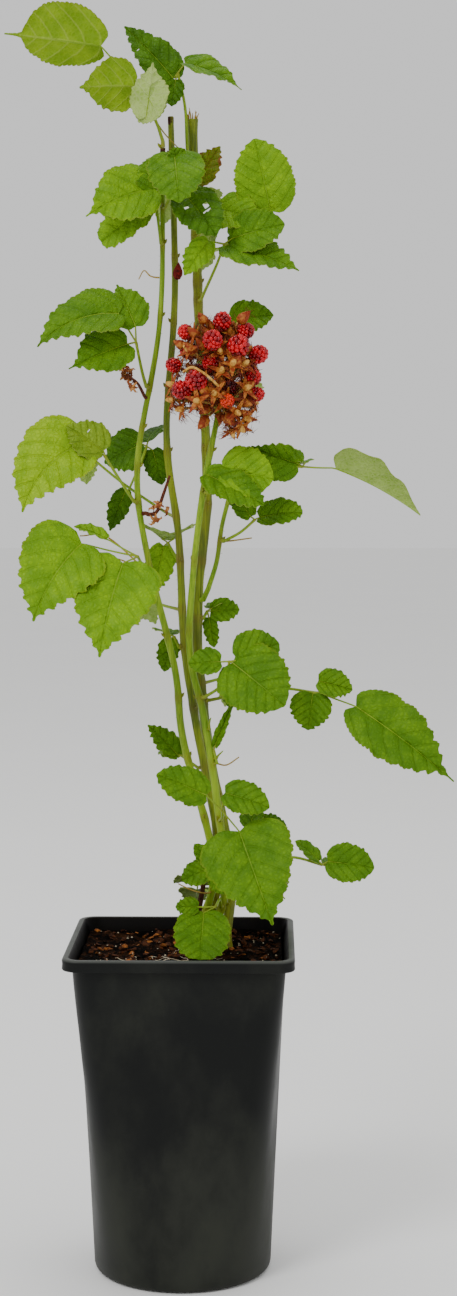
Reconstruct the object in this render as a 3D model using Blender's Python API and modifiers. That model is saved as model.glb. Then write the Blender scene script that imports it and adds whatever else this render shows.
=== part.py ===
"""Potted Japanese wineberry: a young fruiting bush in a square-to-round plastic pot.

Units are metres, +Z is up and -Y is the front. The origin is the centre of the pot's
flat underside. Leaves and canes are planned in millimetres, as MM, because they are small.
"""
import math
import random
from dataclasses import dataclass

import bmesh
import bpy
from mathutils import Matrix, Vector, noise
from mathutils.bvhtree import BVHTree

MM = 0.001
GAP = 0.0003

# Pot: square with round corners at the rim, a full circle at the foot
POT_HEIGHT = 0.1932
RIM_HALF = 0.0650
RIM_CORNER = 0.0095
RIM_BAND = 0.0068
NECK_HALF = 0.0600
NECK_CORNER = 0.0120
FOOT_RADIUS = 0.0515
FOOT_CHAMFER = 0.0030
WALL = 0.0014
FLOOR = 0.0022
LIP_WIDTH = 0.0040
DRAIN_RADIUS = 0.0040
DRAIN_CIRCLE = 0.0380
DRAIN_COUNT = 4
RING_ANGLES = (0, 20, 34, 40.5, 43.5, 46.5, 49.5, 56, 70)

# Soil, filled to a little under the rim and level where the canes stand
SOIL_TOP = 0.1850
SOIL_LUMP = 0.0016
CROWN_PLACE = (0.015, 0.012)
CROWN_CLEAR = 0.026

# Stems
FLARE = 1.45
FLARE_HEIGHT = 0.012
STALK_RADIUS = 0.00085
STALK_WIDTH = 0.0013
STALK_ROLL = 9.0
CLEARANCE = 0.0005

# Leaflets
LEAF_THICKNESS = 0.0009
LEAF_ROWS = ((48, 7), (34, 6), (24, 5), (0, 4))
SMALL_LEAFLET = 24
TOOTH = 0.07
TIP_WIDTH = 0.0006
LEAF_OUTLINE = ((0.0, 0.04), (0.08, 0.66), (0.2, 0.92), (0.36, 1.0), (0.52, 0.9),
                (0.68, 0.67), (0.82, 0.36), (0.91, 0.13), (1.0, 0.015))

COLOURS = {
    "pot": (0.018, 0.019, 0.018),
    "soil": (0.022, 0.012, 0.007),
    "cane": (0.230, 0.290, 0.055),
    "old_cane": (0.260, 0.230, 0.045),
    "dead": (0.085, 0.032, 0.014),
    "leaf": (0.105, 0.240, 0.018),
    "leaf_deep": (0.055, 0.150, 0.015),
    "leaf_pale": (0.230, 0.370, 0.090),
    "berry": (0.560, 0.010, 0.016),
}


@dataclass(frozen=True)
class Cane:
    """One tapering stem through a few knots given in millimetres."""

    name: str
    knots: tuple
    foot: float
    tip: float
    colour: str = "cane"
    on: str = ""
    sides: int = 6


@dataclass(frozen=True)
class Blade:
    """One leaflet: its stalk, the way it points and its size, in degrees and millimetres.

    heading and aim are turned from +X towards +Z in the plane of the front view, lean
    tips the leaflet towards the front, and face turns its upper side from the front (0)
    through the sky (90) to the back (180).
    """

    stalk: float
    heading: float
    aim: float
    lean: float
    length: float
    width: float
    face: float = 30.0
    fold: float = 14.0
    droop: float = 18.0


@dataclass(frozen=True)
class Leaf:
    """A compound leaf: where its leaflets meet, and the leaflets."""

    hub: tuple
    blades: tuple
    start: float = 1.0
    via: tuple = ()


@dataclass(frozen=True)
class Mass:
    """Leaves on one stem that springs from a cane at a given height."""

    name: str
    cane: str
    height: float
    leaves: tuple
    via: tuple = ()
    colour: str = "leaf"
    stem: float = 1.1


# Canes, left to right as seen from the front
CANES = (
    Cane("cane_left", ((8, 14, 185), (18, 8, 235), (1, -2, 308), (-4, -7, 352), (-19, -8, 414),
                       (-25, -4, 468), (-12, -3, 550), (-10, -8, 645)), 2.4, 1.3),
    Cane("cane_fruiting", ((16, 1, 185), (26, -4, 226), (23, -8, 255), (14, -8, 318),
                           (5, -9, 360), (7, -14, 405), (13, -22, 452), (22, -25, 498)), 2.5, 1.6),
    Cane("cane_middle", ((13, 24, 185), (21, 14, 240), (8, 8, 317), (1, 7, 365), (-2, 7, 425),
                         (-9, 8, 485), (-4, 7, 565), (-6, 3, 664)), 2.6, 1.7, "old_cane"),
    Cane("cane_right", ((25, 14, 185), (28, 22, 230), (16, 19, 295), (9, 18, 354), (9, 19, 395),
                        (14, 21, 455), (9, 19, 560), (6, 12, 664)), 3.0, 2.6, "old_cane"),
    Cane("dead_stump", ((6, 4, 185), (9, 1, 205), (13, -1, 229)), 2.3, 1.3, "dead"),
)
LATERALS = (
    Cane("lateral_right", ((0, 0, 389), (15, 11, 396), (20, 5, 412), (23, 3, 432), (27, 0, 448)),
         1.5, 1.2, "cane", "cane_right", 6),
)


def trifoliate(hub, heading, length, face, lean=0.0, via=(), start=1.0, spread=64.0):
    """Return a leaf by the plant's own rule: a long leaflet and two lesser ones at its sides."""
    side = 0.64 * length
    blades = (
        Blade(0.26 * length, heading, heading, lean, length, 0.84 * length, face),
        Blade(0.06 * length, heading + 90, heading + spread, lean * 0.5, side, 0.74 * side, face),
        Blade(0.06 * length, heading - 90, heading - spread, lean * 0.5, side, 0.74 * side, face),
    )
    return Leaf(hub, blades, start, via)


# Masses of leaves, from the top down: those that the front view shows, then the back
FRONT = (
    Mass("foliage_top_left", "cane_left", 645, (
        Leaf((-23, -12, 677), (
            Blade(34, 132, 180, 8, 53, 43, 143, 10, 6),
            Blade(3, 150, 182, 6, 31, 33, 146, 10),
            Blade(3, 330, 305, 35, 30, 28, 150, 10))),), ((-14, -10, 660),), "leaf_pale", 1.1),
    Mass("foliage_top_right", "cane_right", 634, (
        Leaf((-2, 6, 689), (
            Blade(9, 226, 129, -12, 45, 30, 25, 16),
            Blade(7, 54, 335, 0, 36, 22, 70, 20, 30),
            Blade(4, 250, 262, 12, 16, 12, 20))),), ((3, 9, 650), (2, 7, 670)), "leaf_deep", 1.3),
    Mass("foliage_upper_left", "cane_left", 592, (
        Leaf((-14, -14, 615), (
            Blade(3, 135, 201, 12, 40, 33, 30, 12, 26),
            Blade(4, 224, 208, -18, 32, 20, 30),
            Blade(4, 78, 122, -20, 24, 19, 30))),), ((-12, -12, 600),)),
    Mass("foliage_upper_front", "cane_left", 612, (
        Leaf((0, -26, 630), (
            Blade(2, 100, 277, 38, 30, 27, 28, 8, 30),
            Blade(13, 283, 306, 22, 33, 27, 30),
            Blade(3, 90, 110, 10, 16, 16, 50))),), ((-4, -17, 620),), "leaf_deep"),
    Mass("foliage_upper_right", "cane_right", 598, (
        Leaf((19, -8, 613), (
            Blade(32, 354, 103, 5, 41, 34, 18, 8, 10),
            Blade(3, 315, 334, 0, 25, 23, 20))),), ((13, 4, 606),)),
    Mass("foliage_upper_right_low", "cane_right", 562, (
        Leaf((25, -20, 590), (
            Blade(6, 350, 340, 12, 39, 26, 52, 16),
            Blade(5, 38, 14, 8, 31, 23, 25),
            Blade(9, 169, 235, 10, 24, 16, 25))),), ((14, 6, 568), (20, -8, 579))),
    Mass("foliage_mid_left", "cane_left", 511, (
        Leaf((-25, -14, 536), (
            Blade(18, 121, 205, 10, 51, 37, 44, 14, 48),
            Blade(5, 190, 202, 16, 37, 25, 40),
            Blade(9, 92, 115, -28, 31, 23, 35))),), ((-22, -10, 520),)),
    Mass("foliage_mid_right", "cane_right", 538, (
        Leaf((27, 9, 549), (
            Blade(2, 26, 7, 0, 22, 17, 30),
            Blade(2, 350, 340, -60, 16, 13, 60))),), ((18, 13, 541),), "leaf_deep"),
    Mass("foliage_left_high", "cane_left", 446, (
        Leaf((-42, -28, 472), (
            Blade(20, 157, 232, 20, 52, 44, 15, 9, 20),
            Blade(5, 100, 146, 0, 27, 24, 32))),), ((-32, -17, 455),)),
    Mass("foliage_left_inner", "cane_left", 466, (
        Leaf((-21, 18, 478), (
            Blade(3, 150, 206, -14, 26, 26, 20),
            Blade(4, 330, 285, 0, 21, 15, 20),
            Blade(3, 80, 60, -60, 22, 17, 120))),
        Leaf((-31, 12, 453), (
            Blade(2, 200, 248, 0, 25, 13, 20),), 0.5)), ((-24, 8, 468),), "leaf_deep"),
    Mass("foliage_left_low", "cane_left", 405, (
        Leaf((-23, -38, 416), (
            Blade(38, 162, 243, 20, 53, 48, 15, 9, 22),
            Blade(9, 196, 255, 22, 59, 48, 14, 9, 24),
            Blade(20, 150, 160, -10, 20, 10, 60, 30))),), ((-20, -20, 408),)),
    Mass("foliage_centre", "cane_middle", 412, (
        Leaf((-9, 22, 422), (
            Blade(3, 217, 258, -6, 30, 18, 20),
            Blade(4, 140, 150, -58, 26, 19, 120),
            Blade(4, 40, 30, -58, 24, 18, 120))),), ((-4, 15, 414),), "leaf_pale"),
    Mass("foliage_right_inner", "cane_fruiting", 452, (
        Leaf((19, -27, 461), (
            Blade(4, 170, 332, 16, 38, 22, 32),
            Blade(8, 14, 16, 0, 24, 20, 20))),), (), "leaf"),
    Mass("foliage_right_curled", "lateral_right", 424, (
        Leaf((42, -12, 436), (
            Blade(3, 30, 4, 8, 26, 21, 50, 20, 20),
            Blade(3, 140, 128, 0, 20, 14, 35))),), ((34, -7, 429),)),
    Mass("foliage_right_reach", "lateral_right", 448, (
        Leaf((69, -12, 466), (
            Blade(19, 358, 332, 5, 55, 40, 95, 42, 16),
            Blade(3, 146, 168, 12, 25, 25, 25, 20),
            Blade(3, 60, 200, -62, 24, 18, 80))),), ((44, -6, 460), (58, -10, 466)), "leaf_pale"),
    Mass("foliage_right_low", "cane_fruiting", 334, (
        Leaf((28, -34, 357), (
            Blade(7, 300, 331, 20, 37, 28, 18),
            Blade(5, 10, 18, 4, 26, 26, 18),
            Blade(5, 180, 184, 0, 18, 17, 30),
            Blade(4, 252, 276, -12, 24, 11, 30))),), ((22, -18, 341), (27, -26, 349))),
    Mass("foliage_right_long", "cane_right", 330, (
        Leaf((79, -20, 338), (
            Blade(22, 340, 323, 8, 70, 38, 28, 14, 24),
            Blade(7, 96, 345, 0, 20, 18, 25, 24),
            Blade(4, 185, 262, 12, 21, 24, 22))),), ((26, 10, 333), (54, -12, 340))),
    Mass("foliage_low_front", "cane_fruiting", 264, (
        Leaf((24, -54, 276), (
            Blade(7, 292, 297, 22, 62, 50, 10, 9, 18),
            Blade(12, 135, 157, 5, 30, 22, 30),
            Blade(10, 70, 342, 5, 26, 20, 30))),), ((24, -24, 268), (24, -40, 275))),
    Mass("foliage_low_right", "cane_right", 226, (
        Leaf((81, -4, 237), (
            Blade(4, 30, 352, 0, 27, 24, 28),
            Blade(3, 127, 140, 0, 18, 12, 62),
            Blade(3, 350, 350, -62, 18, 14, 60))),), ((42, 12, 232), (62, 4, 240))),
    Mass("foliage_low_back", "cane_right", 246, (
        Leaf((39, 24, 252), (
            Blade(3, 0, 2, 0, 23, 16, 30),
            Blade(3, 90, 70, -40, 20, 16, 100),
            Blade(3, 300, 300, -30, 18, 14, 60))),), ((32, 24, 248),), "leaf_deep"),
    Mass("foliage_foot", "cane_fruiting", 213, (
        Leaf((20, -24, 216), (
            Blade(3, 237, 263, 48, 33, 32, 12, 8, 10),
            Blade(10, 180, 180, 0, 13, 11, 25))),), ((22, -12, 218),), "leaf_pale"),
    Mass("foliage_foot_left", "cane_left", 228, (
        Leaf((18, -20, 238), (
            Blade(2, 200, 203, 5, 17, 15, 25),
            Blade(3, 310, 292, 10, 14, 13, 25),
            Blade(2, 120, 128, 0, 15, 10, 25))),), ((18, -4, 233),), "leaf"),
    Mass("foliage_stem_left", "cane_middle", 292, (
        Leaf((-1, 15, 298), (
            Blade(2, 170, 135, 0, 25, 15, 40),
            Blade(2, 200, 170, -60, 20, 15, 60))),), (), "leaf"),
    Mass("foliage_stem_middle", "cane_middle", 362, (
        Leaf((-5, 12, 368), (
            Blade(2, 214, 258, 0, 20, 13, 20),
            Blade(2, 150, 170, -62, 20, 15, 100))),), (), "leaf_deep"),
    Mass("foliage_stem_right", "cane_right", 378, (
        Leaf((14, 25, 382), (
            Blade(2, 0, 3, 0, 15, 13, 20),
            Blade(4, 282, 280, -5, 18, 9, 20),
            Blade(3, 40, 20, -62, 18, 14, 110))),), (), "leaf_deep"),
    Mass("young_shoot", "cane_fruiting", 296, (
        Leaf((22, -7, 306), (
            Blade(3, 72, 68, 0, 25, 9, 20, 40),)),), (), "leaf", 0.9),
)
BACK = (
    Mass("foliage_back_top", "cane_middle", 622, (
        trifoliate((-9, 32, 629), 194, 34, 130, -52),), ((-7, 18, 625),)),
    Mass("foliage_upper_back", "cane_right", 612, (
        Leaf((6, 22, 626), (
            Blade(4, 60, 58, -10, 26, 17, 25),
            Blade(3, 150, 100, -62, 26, 20, 110),
            Blade(3, 330, 330, -62, 26, 20, 110))),), (), "leaf_deep"),
    Mass("foliage_back_upper", "cane_right", 572, (
        trifoliate((14, 36, 593), 8, 32, 130, -62),), ((10, 27, 579),), "leaf_deep"),
    Mass("foliage_back_high", "cane_right", 510, (
        trifoliate((20, 44, 518), 322, 36, 135, -58),), ((18, 32, 512),)),
    Mass("foliage_back_left", "cane_middle", 438, (
        trifoliate((-62, 40, 478), 212, 36, 135, -58),), ((-14, 28, 442), (-38, 40, 458)), "leaf_deep"),
    Mass("foliage_back_middle", "cane_middle", 384, (
        trifoliate((-32, 44, 392), 240, 38, 135, -50),), ((-14, 26, 386),)),
    Mass("foliage_back_right", "cane_right", 340, (
        trifoliate((33, 42, 344), 312, 36, 140, -50),), ((22, 30, 342),), "leaf_deep"),
    Mass("foliage_back_low", "cane_right", 240, (
        trifoliate((35, 46, 233), 310, 38, 140, -40),), ((30, 34, 238),)),
    Mass("foliage_back_foot", "cane_middle", 214, (
        trifoliate((8, 46, 220), 262, 26, 120, -58),), ((11, 34, 216),), "leaf_deep"),
)

# Fruit: ripe berries as (x, y, z, radius), each on a stalk from the middle of the cluster
CLUSTER_TOP = (28, -27, 542)
BERRIES = (
    (30, -30, 551, 5.6), (12, -32, 545, 5.1), (26, -42, 541, 6.2), (41, -24, 543, 4.6),
    (38, -38, 537, 6.2), (43, -27, 532, 5.1), (4, -28, 528, 4.6), (10, -43, 517, 5.7),
    (18, -46, 521, 6.2), (22, -31, 531, 5.6), (41, -33, 520, 4.7), (43, -27, 510, 4.7),
    (32, -43, 509, 4.6), (33, -14, 541, 5.2), (20, -13, 533, 5.4), (38, -12, 524, 5.2),
    (24, -10, 518, 4.8),
)
SPENT = ((42, -33, 501), (34, -38, 486), (7, -37, 503), (2, -30, 514), (17, -38, 501), (27, -24, 505),
         (40, -19, 508), (12, -20, 513))
CALYX_SIZE = 6.4

# Dead twigs that stay on the canes
DEAD = (
    Mass("dead_twig", "cane_left", 505, (), ((-25, -20, 514), (-33, -21, 517)), "dead", 0.9),
    Mass("dead_flower_stub", "cane_left", 448, (), ((-16, -9, 452), (-12, -11, 466), (-8, -12, 474)),
         "dead", 1.2),
)


def clear_scene():
    """Remove whatever objects and collections the file opened with."""
    for obj in list(bpy.data.objects):
        bpy.data.objects.remove(obj, do_unlink=True)


def material(name, colour, roughness):
    """Return a plain material named for its part."""
    mat = bpy.data.materials.new(name)
    mat.use_nodes = True
    shader = mat.node_tree.nodes["Principled BSDF"]
    shader.inputs["Base Color"].default_value = (*colour, 1.0)
    shader.inputs["Roughness"].default_value = roughness
    shader.inputs["Metallic"].default_value = 0.0
    mat.diffuse_color = (*colour, 1.0)
    return mat


def add_object(name, mesh, collection):
    """Link a mesh to a collection as a new object."""
    obj = bpy.data.objects.new(name, mesh)
    collection.objects.link(obj)
    return obj


def finish(obj, colour, roughness, smooth_angle=40.0):
    """Give a finished part its material and its shading."""
    obj.data.materials.clear()
    obj.data.materials.append(material(obj.name + "_material", COLOURS[colour], roughness))
    obj.data.shade_smooth()
    obj.data.set_sharp_from_angle(angle=math.radians(smooth_angle))


def baked(obj):
    """Return a fresh mesh of an object with its modifiers or bevel applied."""
    bpy.context.view_layer.update()
    graph = bpy.context.evaluated_depsgraph_get()
    return bpy.data.meshes.new_from_object(obj.evaluated_get(graph))


def smooth_path(knots, step):
    """Return points about step apart on a Catmull-Rom curve through the knots."""
    pts = [Vector(k) for k in knots]
    pts = [2 * pts[0] - pts[1]] + pts + [2 * pts[-1] - pts[-2]]
    path = []
    for i in range(1, len(pts) - 2):
        a, b, c, d = pts[i - 1:i + 3]
        count = max(1, round((c - b).length / step))
        for j in range(count):
            t = j / count
            path.append(0.5 * (2 * b + (c - a) * t + (2 * a - 5 * b + 4 * c - d) * t * t
                               + (3 * b - a - 3 * c + d) * t ** 3))
    path.append(pts[-2])
    return path


def tube(name, points, radii, collection, sides=6):
    """Make a closed mesh tube from a poly curve with a radius at each point."""
    curve = bpy.data.curves.new(name, "CURVE")
    curve.dimensions = "3D"
    curve.bevel_depth = MM
    curve.bevel_resolution = max(0, sides // 2 - 2)
    curve.use_fill_caps = True
    spline = curve.splines.new("POLY")
    spline.points.add(len(points) - 1)
    for slot, co, radius in zip(spline.points, points, radii):
        slot.co = (*co, 1.0)
        slot.radius = radius / MM
    wire = add_object(name + "_wire", curve, collection)
    mesh = baked(wire)
    matrix = wire.matrix_world.copy()
    bpy.data.objects.remove(wire)
    bm = bmesh.new()
    bm.from_mesh(mesh)
    bmesh.ops.remove_doubles(bm, verts=bm.verts, dist=1e-6)
    bmesh.ops.recalc_face_normals(bm, faces=bm.faces)
    bm.to_mesh(mesh)
    bm.free()
    obj = add_object(name, mesh, collection)
    obj.matrix_world = matrix
    return obj


def pot_reach(angle, half, corner, round_part):
    """Distance from the axis to the pot's wall: a rounded square blended with a circle."""
    a = math.radians(angle % 90.0)
    if a > math.pi / 4:
        a = math.pi / 2 - a
    reach = half / math.cos(a)
    inner = half - corner
    if half * math.tan(a) > inner:
        along = inner * (math.cos(a) + math.sin(a))
        reach = along + math.sqrt(max(0.0, along * along - 2 * inner * inner + corner * corner))
    return reach * (1.0 - round_part) + half * round_part


def pot_ring(z, inset=0.0):
    """Return the loop of the pot's wall at a height, moved inwards by inset."""
    up = z / (POT_HEIGHT - RIM_BAND)
    half = FOOT_RADIUS + (NECK_HALF - FOOT_RADIUS) * up
    round_part = (1.0 - min(1.0, up)) ** 1.35
    corner = NECK_CORNER + 0.25 * half * (1.0 - min(1.0, up))
    return section(z, half - inset, max(corner - inset, 0.001), round_part)


def section(z, half, corner, round_part=0.0):
    """Return one closed loop of points round the axis."""
    loop = []
    for quarter in range(4):
        for part in RING_ANGLES:
            angle = quarter * 90.0 + part
            reach = pot_reach(angle, half, corner, round_part)
            a = math.radians(angle)
            loop.append(Vector((reach * math.cos(a), reach * math.sin(a), z)))
    return loop


def loft(name, rings, collection):
    """Join loops of equal count into one closed skin, each quad cut from low left to high right."""
    bm = bmesh.new()
    loops = [[bm.verts.new(co) for co in ring] for ring in rings]
    count = len(loops[0])
    for low, high in zip(loops, loops[1:]):
        if low[0].co.z > high[0].co.z:
            low, high = high, low
        for i in range(count):
            j = (i + 1) % count
            bm.faces.new((low[i], low[j], high[j]))
            bm.faces.new((low[i], high[j], high[i]))
    bm.faces.new(list(reversed(loops[0])))
    bm.faces.new(loops[-1])
    bmesh.ops.recalc_face_normals(bm, faces=bm.faces)
    mesh = bpy.data.meshes.new(name)
    bm.to_mesh(mesh)
    bm.free()
    return add_object(name, mesh, collection)


def build_pot(parts, cutters):
    """The pot: a thin wall lofted from a round foot to a square neck, with a rolled rim."""
    neck = POT_HEIGHT - RIM_BAND
    rings = [pot_ring(0.0, FOOT_CHAMFER), pot_ring(FOOT_CHAMFER * 0.3, FOOT_CHAMFER * 0.3),
             pot_ring(FOOT_CHAMFER)]
    rings += [pot_ring(neck * part) for part in (0.25, 0.5, 0.75, 1.0)]
    rings.append(section(neck, RIM_HALF - 0.0006, RIM_CORNER))
    rings.append(section(neck + 0.0010, RIM_HALF, RIM_CORNER))
    rings.append(section(POT_HEIGHT - 0.0012, RIM_HALF, RIM_CORNER))
    rings.append(section(POT_HEIGHT, RIM_HALF - 0.0012, RIM_CORNER - 0.0012))
    rings.append(section(POT_HEIGHT, RIM_HALF - LIP_WIDTH, RIM_CORNER - LIP_WIDTH * 0.5))
    rings.append(pot_ring(neck - 0.003, WALL))
    rings += [pot_ring(neck * part, WALL) for part in (0.75, 0.5, 0.25)]
    rings.append(pot_ring(FLOOR, WALL + 0.001))
    pot = loft("pot", rings, parts)
    for i in range(DRAIN_COUNT):
        turn = math.tau * (i + 0.5) / DRAIN_COUNT
        bm = bmesh.new()
        place = Matrix.Translation((DRAIN_CIRCLE * math.cos(turn), DRAIN_CIRCLE * math.sin(turn), 0.0))
        bmesh.ops.create_cone(bm, cap_ends=True, segments=8, radius1=DRAIN_RADIUS,
                              radius2=DRAIN_RADIUS, depth=0.02, matrix=place)
        mesh = bpy.data.meshes.new("drain_cutter")
        bm.to_mesh(mesh)
        bm.free()
        cutter = add_object("drain_cutter_%d" % (i + 1), mesh, cutters)
        cutter.hide_render = True
        cutter.display_type = "WIRE"
        cut = pot.modifiers.new("Drain %d" % (i + 1), "BOOLEAN")
        cut.operation = "DIFFERENCE"
        cut.solver = "EXACT"
        cut.object = cutter
    finish(pot, "pot", 0.42, 32.0)


def build_soil(parts):
    """The soil: fills the pot clear of its wall, lumpy on top except round the canes."""
    neck = POT_HEIGHT - RIM_BAND
    inset = WALL + GAP * 2.0
    rings = [pot_ring(FLOOR + GAP, inset + 0.0013)]
    rings += [pot_ring(neck * part, inset) for part in (0.25, 0.5, 0.75)]
    edge = pot_ring(neck - 0.003, inset)
    rings.append(edge)
    centre = Vector((*CROWN_PLACE, 0.0))
    for scale in (0.999, 0.84, 0.6, 0.3):
        ring = []
        for co in edge:
            place = Vector((co.x * scale, co.y * scale, 0.0)) + centre * (1.0 - scale)
            far = min(1.0, max(0.0, ((place - centre).length - CROWN_CLEAR) / 0.012))
            lump = noise.noise(place * 95.0) * SOIL_LUMP * far
            ring.append(Vector((place.x, place.y, SOIL_TOP + lump)))
        rings.append(ring)
    finish(loft("soil", rings, parts), "soil", 0.95, 60.0)


def cane_at(path, radii, height):
    """Return the centre and radius of a cane where it passes a height."""
    for a, b, ra, rb in zip(path, path[1:], radii, radii[1:]):
        if (a.z - height) * (b.z - height) <= 0 and a.z != b.z:
            t = (height - a.z) / (b.z - a.z)
            return a.lerp(b, t), ra + (rb - ra) * t
    return path[-1].copy(), radii[-1]


def build_cane(cane, parts, grown):
    """One cane or lateral: a tapering limb, flared and cut flat where it meets the soil."""
    knots = [Vector(k) * MM for k in cane.knots]
    if cane.on:
        path = root_on(grown[cane.on], knots[0].z, knots[1]) + smooth_path(knots[1:], 0.012)
    else:
        knots[0].z = SOIL_TOP + GAP
        rise = knots[0] + Vector((0.0, 0.0, 0.004))
        path = [knots[0]] + smooth_path([rise] + knots[1:], 0.021)
    total = path[-1].z - path[0].z
    radii = []
    for co in path:
        up = (co.z - path[0].z) / total
        radius = (cane.foot + (cane.tip - cane.foot) * up) * MM
        if not cane.on:
            low = max(0.0, 1.0 - (co.z - path[0].z) / FLARE_HEIGHT)
            radius *= 1.0 + (FLARE - 1.0) * low * low
        radii.append(radius)
    obj = tube(cane.name, path, radii, parts, cane.sides)
    finish(obj, cane.colour, 0.6, 60.0)
    grown[cane.name] = (path, radii, obj)


def root_on(limb, height, towards):
    """Return where a stem leaves a limb: its first points, square to the limb and clear of it."""
    path, radii = limb[0], limb[1]
    if height >= path[-1].z - 0.0005:
        way = (path[-1] - path[-2]).normalized()
        first = path[-1] + way * (GAP * 1.5)
        return [first, first + way * 0.003]
    centre, thick = cane_at(path, radii, height)
    way = Vector((towards.x - centre.x, towards.y - centre.y, 0.0))
    if way.length < 1e-6:
        way = Vector((0.0, -1.0, 0.0))
    way.normalize()
    lean = cane_slope(path, height)
    way = (way - lean * way.dot(lean)).normalized()
    first = centre + way * (thick + GAP * 1.4)
    return [first, first + way * 0.002]


def cane_slope(path, height):
    """Return the direction that a cane runs where it passes a height."""
    for a, b in zip(path, path[1:]):
        if (a.z - height) * (b.z - height) <= 0 and a.z != b.z:
            return (b - a).normalized()
    return (path[-1] - path[-2]).normalized()


def outline_at(t):
    """Return the leaflet's half width, as a part of its greatest, at t along its midrib."""
    for (t0, w0), (t1, w1) in zip(LEAF_OUTLINE, LEAF_OUTLINE[1:]):
        if t <= t1:
            return w0 + (w1 - w0) * (t - t0) / (t1 - t0)
    return LEAF_OUTLINE[-1][1]


def blade_frame(blade):
    """Return a leaflet's direction, side and upper normal."""
    aim, lean, face = (math.radians(v) for v in (blade.aim, blade.lean, blade.face))
    along = Vector((math.cos(aim) * math.cos(lean), -math.sin(lean), math.sin(aim) * math.cos(lean)))
    normal = Vector((0.0, -math.cos(face), math.sin(face)))
    normal = (normal - along * normal.dot(along)).normalized()
    return along, along.cross(normal), normal


def midrib_point(blade, base, t):
    """Return the midrib's point at t and the blade's normal there, as the tip droops."""
    along, _, normal = blade_frame(blade)
    droop = math.radians(blade.droop)
    length = blade.length * MM
    if droop < 1e-4:
        return base + along * length * t, normal
    half = 0.5 * droop
    bend = droop * t - half
    radius = length / droop
    place = base + along * (radius * (math.sin(bend) + math.sin(half)))
    place -= normal * (radius * (math.cos(half) - math.cos(bend)))
    return place, (normal * math.cos(bend) + along * math.sin(bend)).normalized()


def make_blade(name, blade, hub, nudge, rank, collection):
    """One leaflet on its stalk: a toothed sheet bent along its midrib and given thickness."""
    heading = math.radians(blade.heading)
    out = Vector((math.cos(heading), 0.0, math.sin(heading)))
    along, side, normal = blade_frame(blade)
    base = hub + out * blade.stalk * MM
    rows = next(count for least, count in LEAF_ROWS if blade.length >= least)
    columns = 2 if blade.length >= SMALL_LEAFLET else 1
    fold = math.radians(blade.fold) if columns == 2 else 0.0
    strip = out.cross(normal)
    strip = strip.normalized() if strip.length > 0.2 else side
    roll = math.radians(STALK_ROLL * rank + 40.0 * nudge)
    strip = strip * math.cos(roll) + strip.cross(out) * math.sin(roll)
    bm = bmesh.new()
    bmesh.ops.create_grid(bm, x_segments=columns, y_segments=rows + 1, size=0.5)
    for vert in bm.verts:
        row = round((vert.co.y + 0.5) * (rows + 1)) - 1
        across = round(vert.co.x * 2.0)
        narrow = 0.5 * STALK_WIDTH * (1.0 + nudge)
        if row < 0:
            vert.co = hub - out * (0.0003 + nudge * 0.002) + strip * (across * narrow)
            continue
        if row == 0:
            bend = (strip + side).normalized() if strip.dot(side) > -0.5 else side
            vert.co = base + bend * (across * narrow)
            continue
        t = row / rows
        reach = 0.5 * blade.width * MM * outline_at(t)
        if row < rows:
            reach *= 1.0 + (TOOTH if row % 2 else -TOOTH)
        reach = max(reach, TIP_WIDTH)
        back = 0.06 * blade.length * MM * abs(across) * (1.0 - t) ** 3
        place, up = midrib_point(blade, base, t)
        ahead = up.cross(side).normalized()
        vert.co = (place + side * (across * reach * math.cos(fold))
                   + up * (abs(across) * reach * math.sin(fold)) - ahead * back)
    mesh = bpy.data.meshes.new(name)
    bm.to_mesh(mesh)
    bm.free()
    sheet = add_object(name + "_sheet", mesh, collection)
    thick = sheet.modifiers.new("Thickness", "SOLIDIFY")
    thick.thickness = LEAF_THICKNESS * (1.0 + 0.04 * rank)
    thick.offset = 0.0
    solid = add_object(name, baked(sheet), collection)
    bpy.data.objects.remove(sheet)
    return solid


def fuse(name, pieces, parts):
    """Join closed pieces into one body, drop loose scraps and fill sealed hollows."""
    if len(pieces) == 1:
        body = add_object(name, pieces[0].data.copy(), parts)
        bpy.data.objects.remove(pieces[0])
        return body
    first = None
    for solver in ("EXACT", "MANIFOLD"):
        group = bpy.data.collections.new(name + "_pieces")
        bpy.context.scene.collection.children.link(group)
        for piece in pieces[1:]:
            group.objects.link(piece)
        join = pieces[0].modifiers.new("Fuse", "BOOLEAN")
        join.operation = "UNION"
        join.operand_type = "COLLECTION"
        join.collection = group
        join.solver = solver
        mesh = baked(pieces[0])
        pieces[0].modifiers.remove(join)
        for piece in pieces[1:]:
            group.objects.unlink(piece)
        bpy.data.collections.remove(group)
        one_body(mesh)
        if first is None or is_closed(mesh):
            first = mesh
        if is_closed(mesh):
            break
    for piece in pieces:
        bpy.data.objects.remove(piece)
    return add_object(name, first, parts)


def is_closed(mesh):
    """Say whether every edge of a mesh has exactly two faces."""
    bm = bmesh.new()
    bm.from_mesh(mesh)
    good = len(bm.faces) > 0 and all(len(edge.link_faces) == 2 for edge in bm.edges)
    bm.free()
    return good


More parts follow.
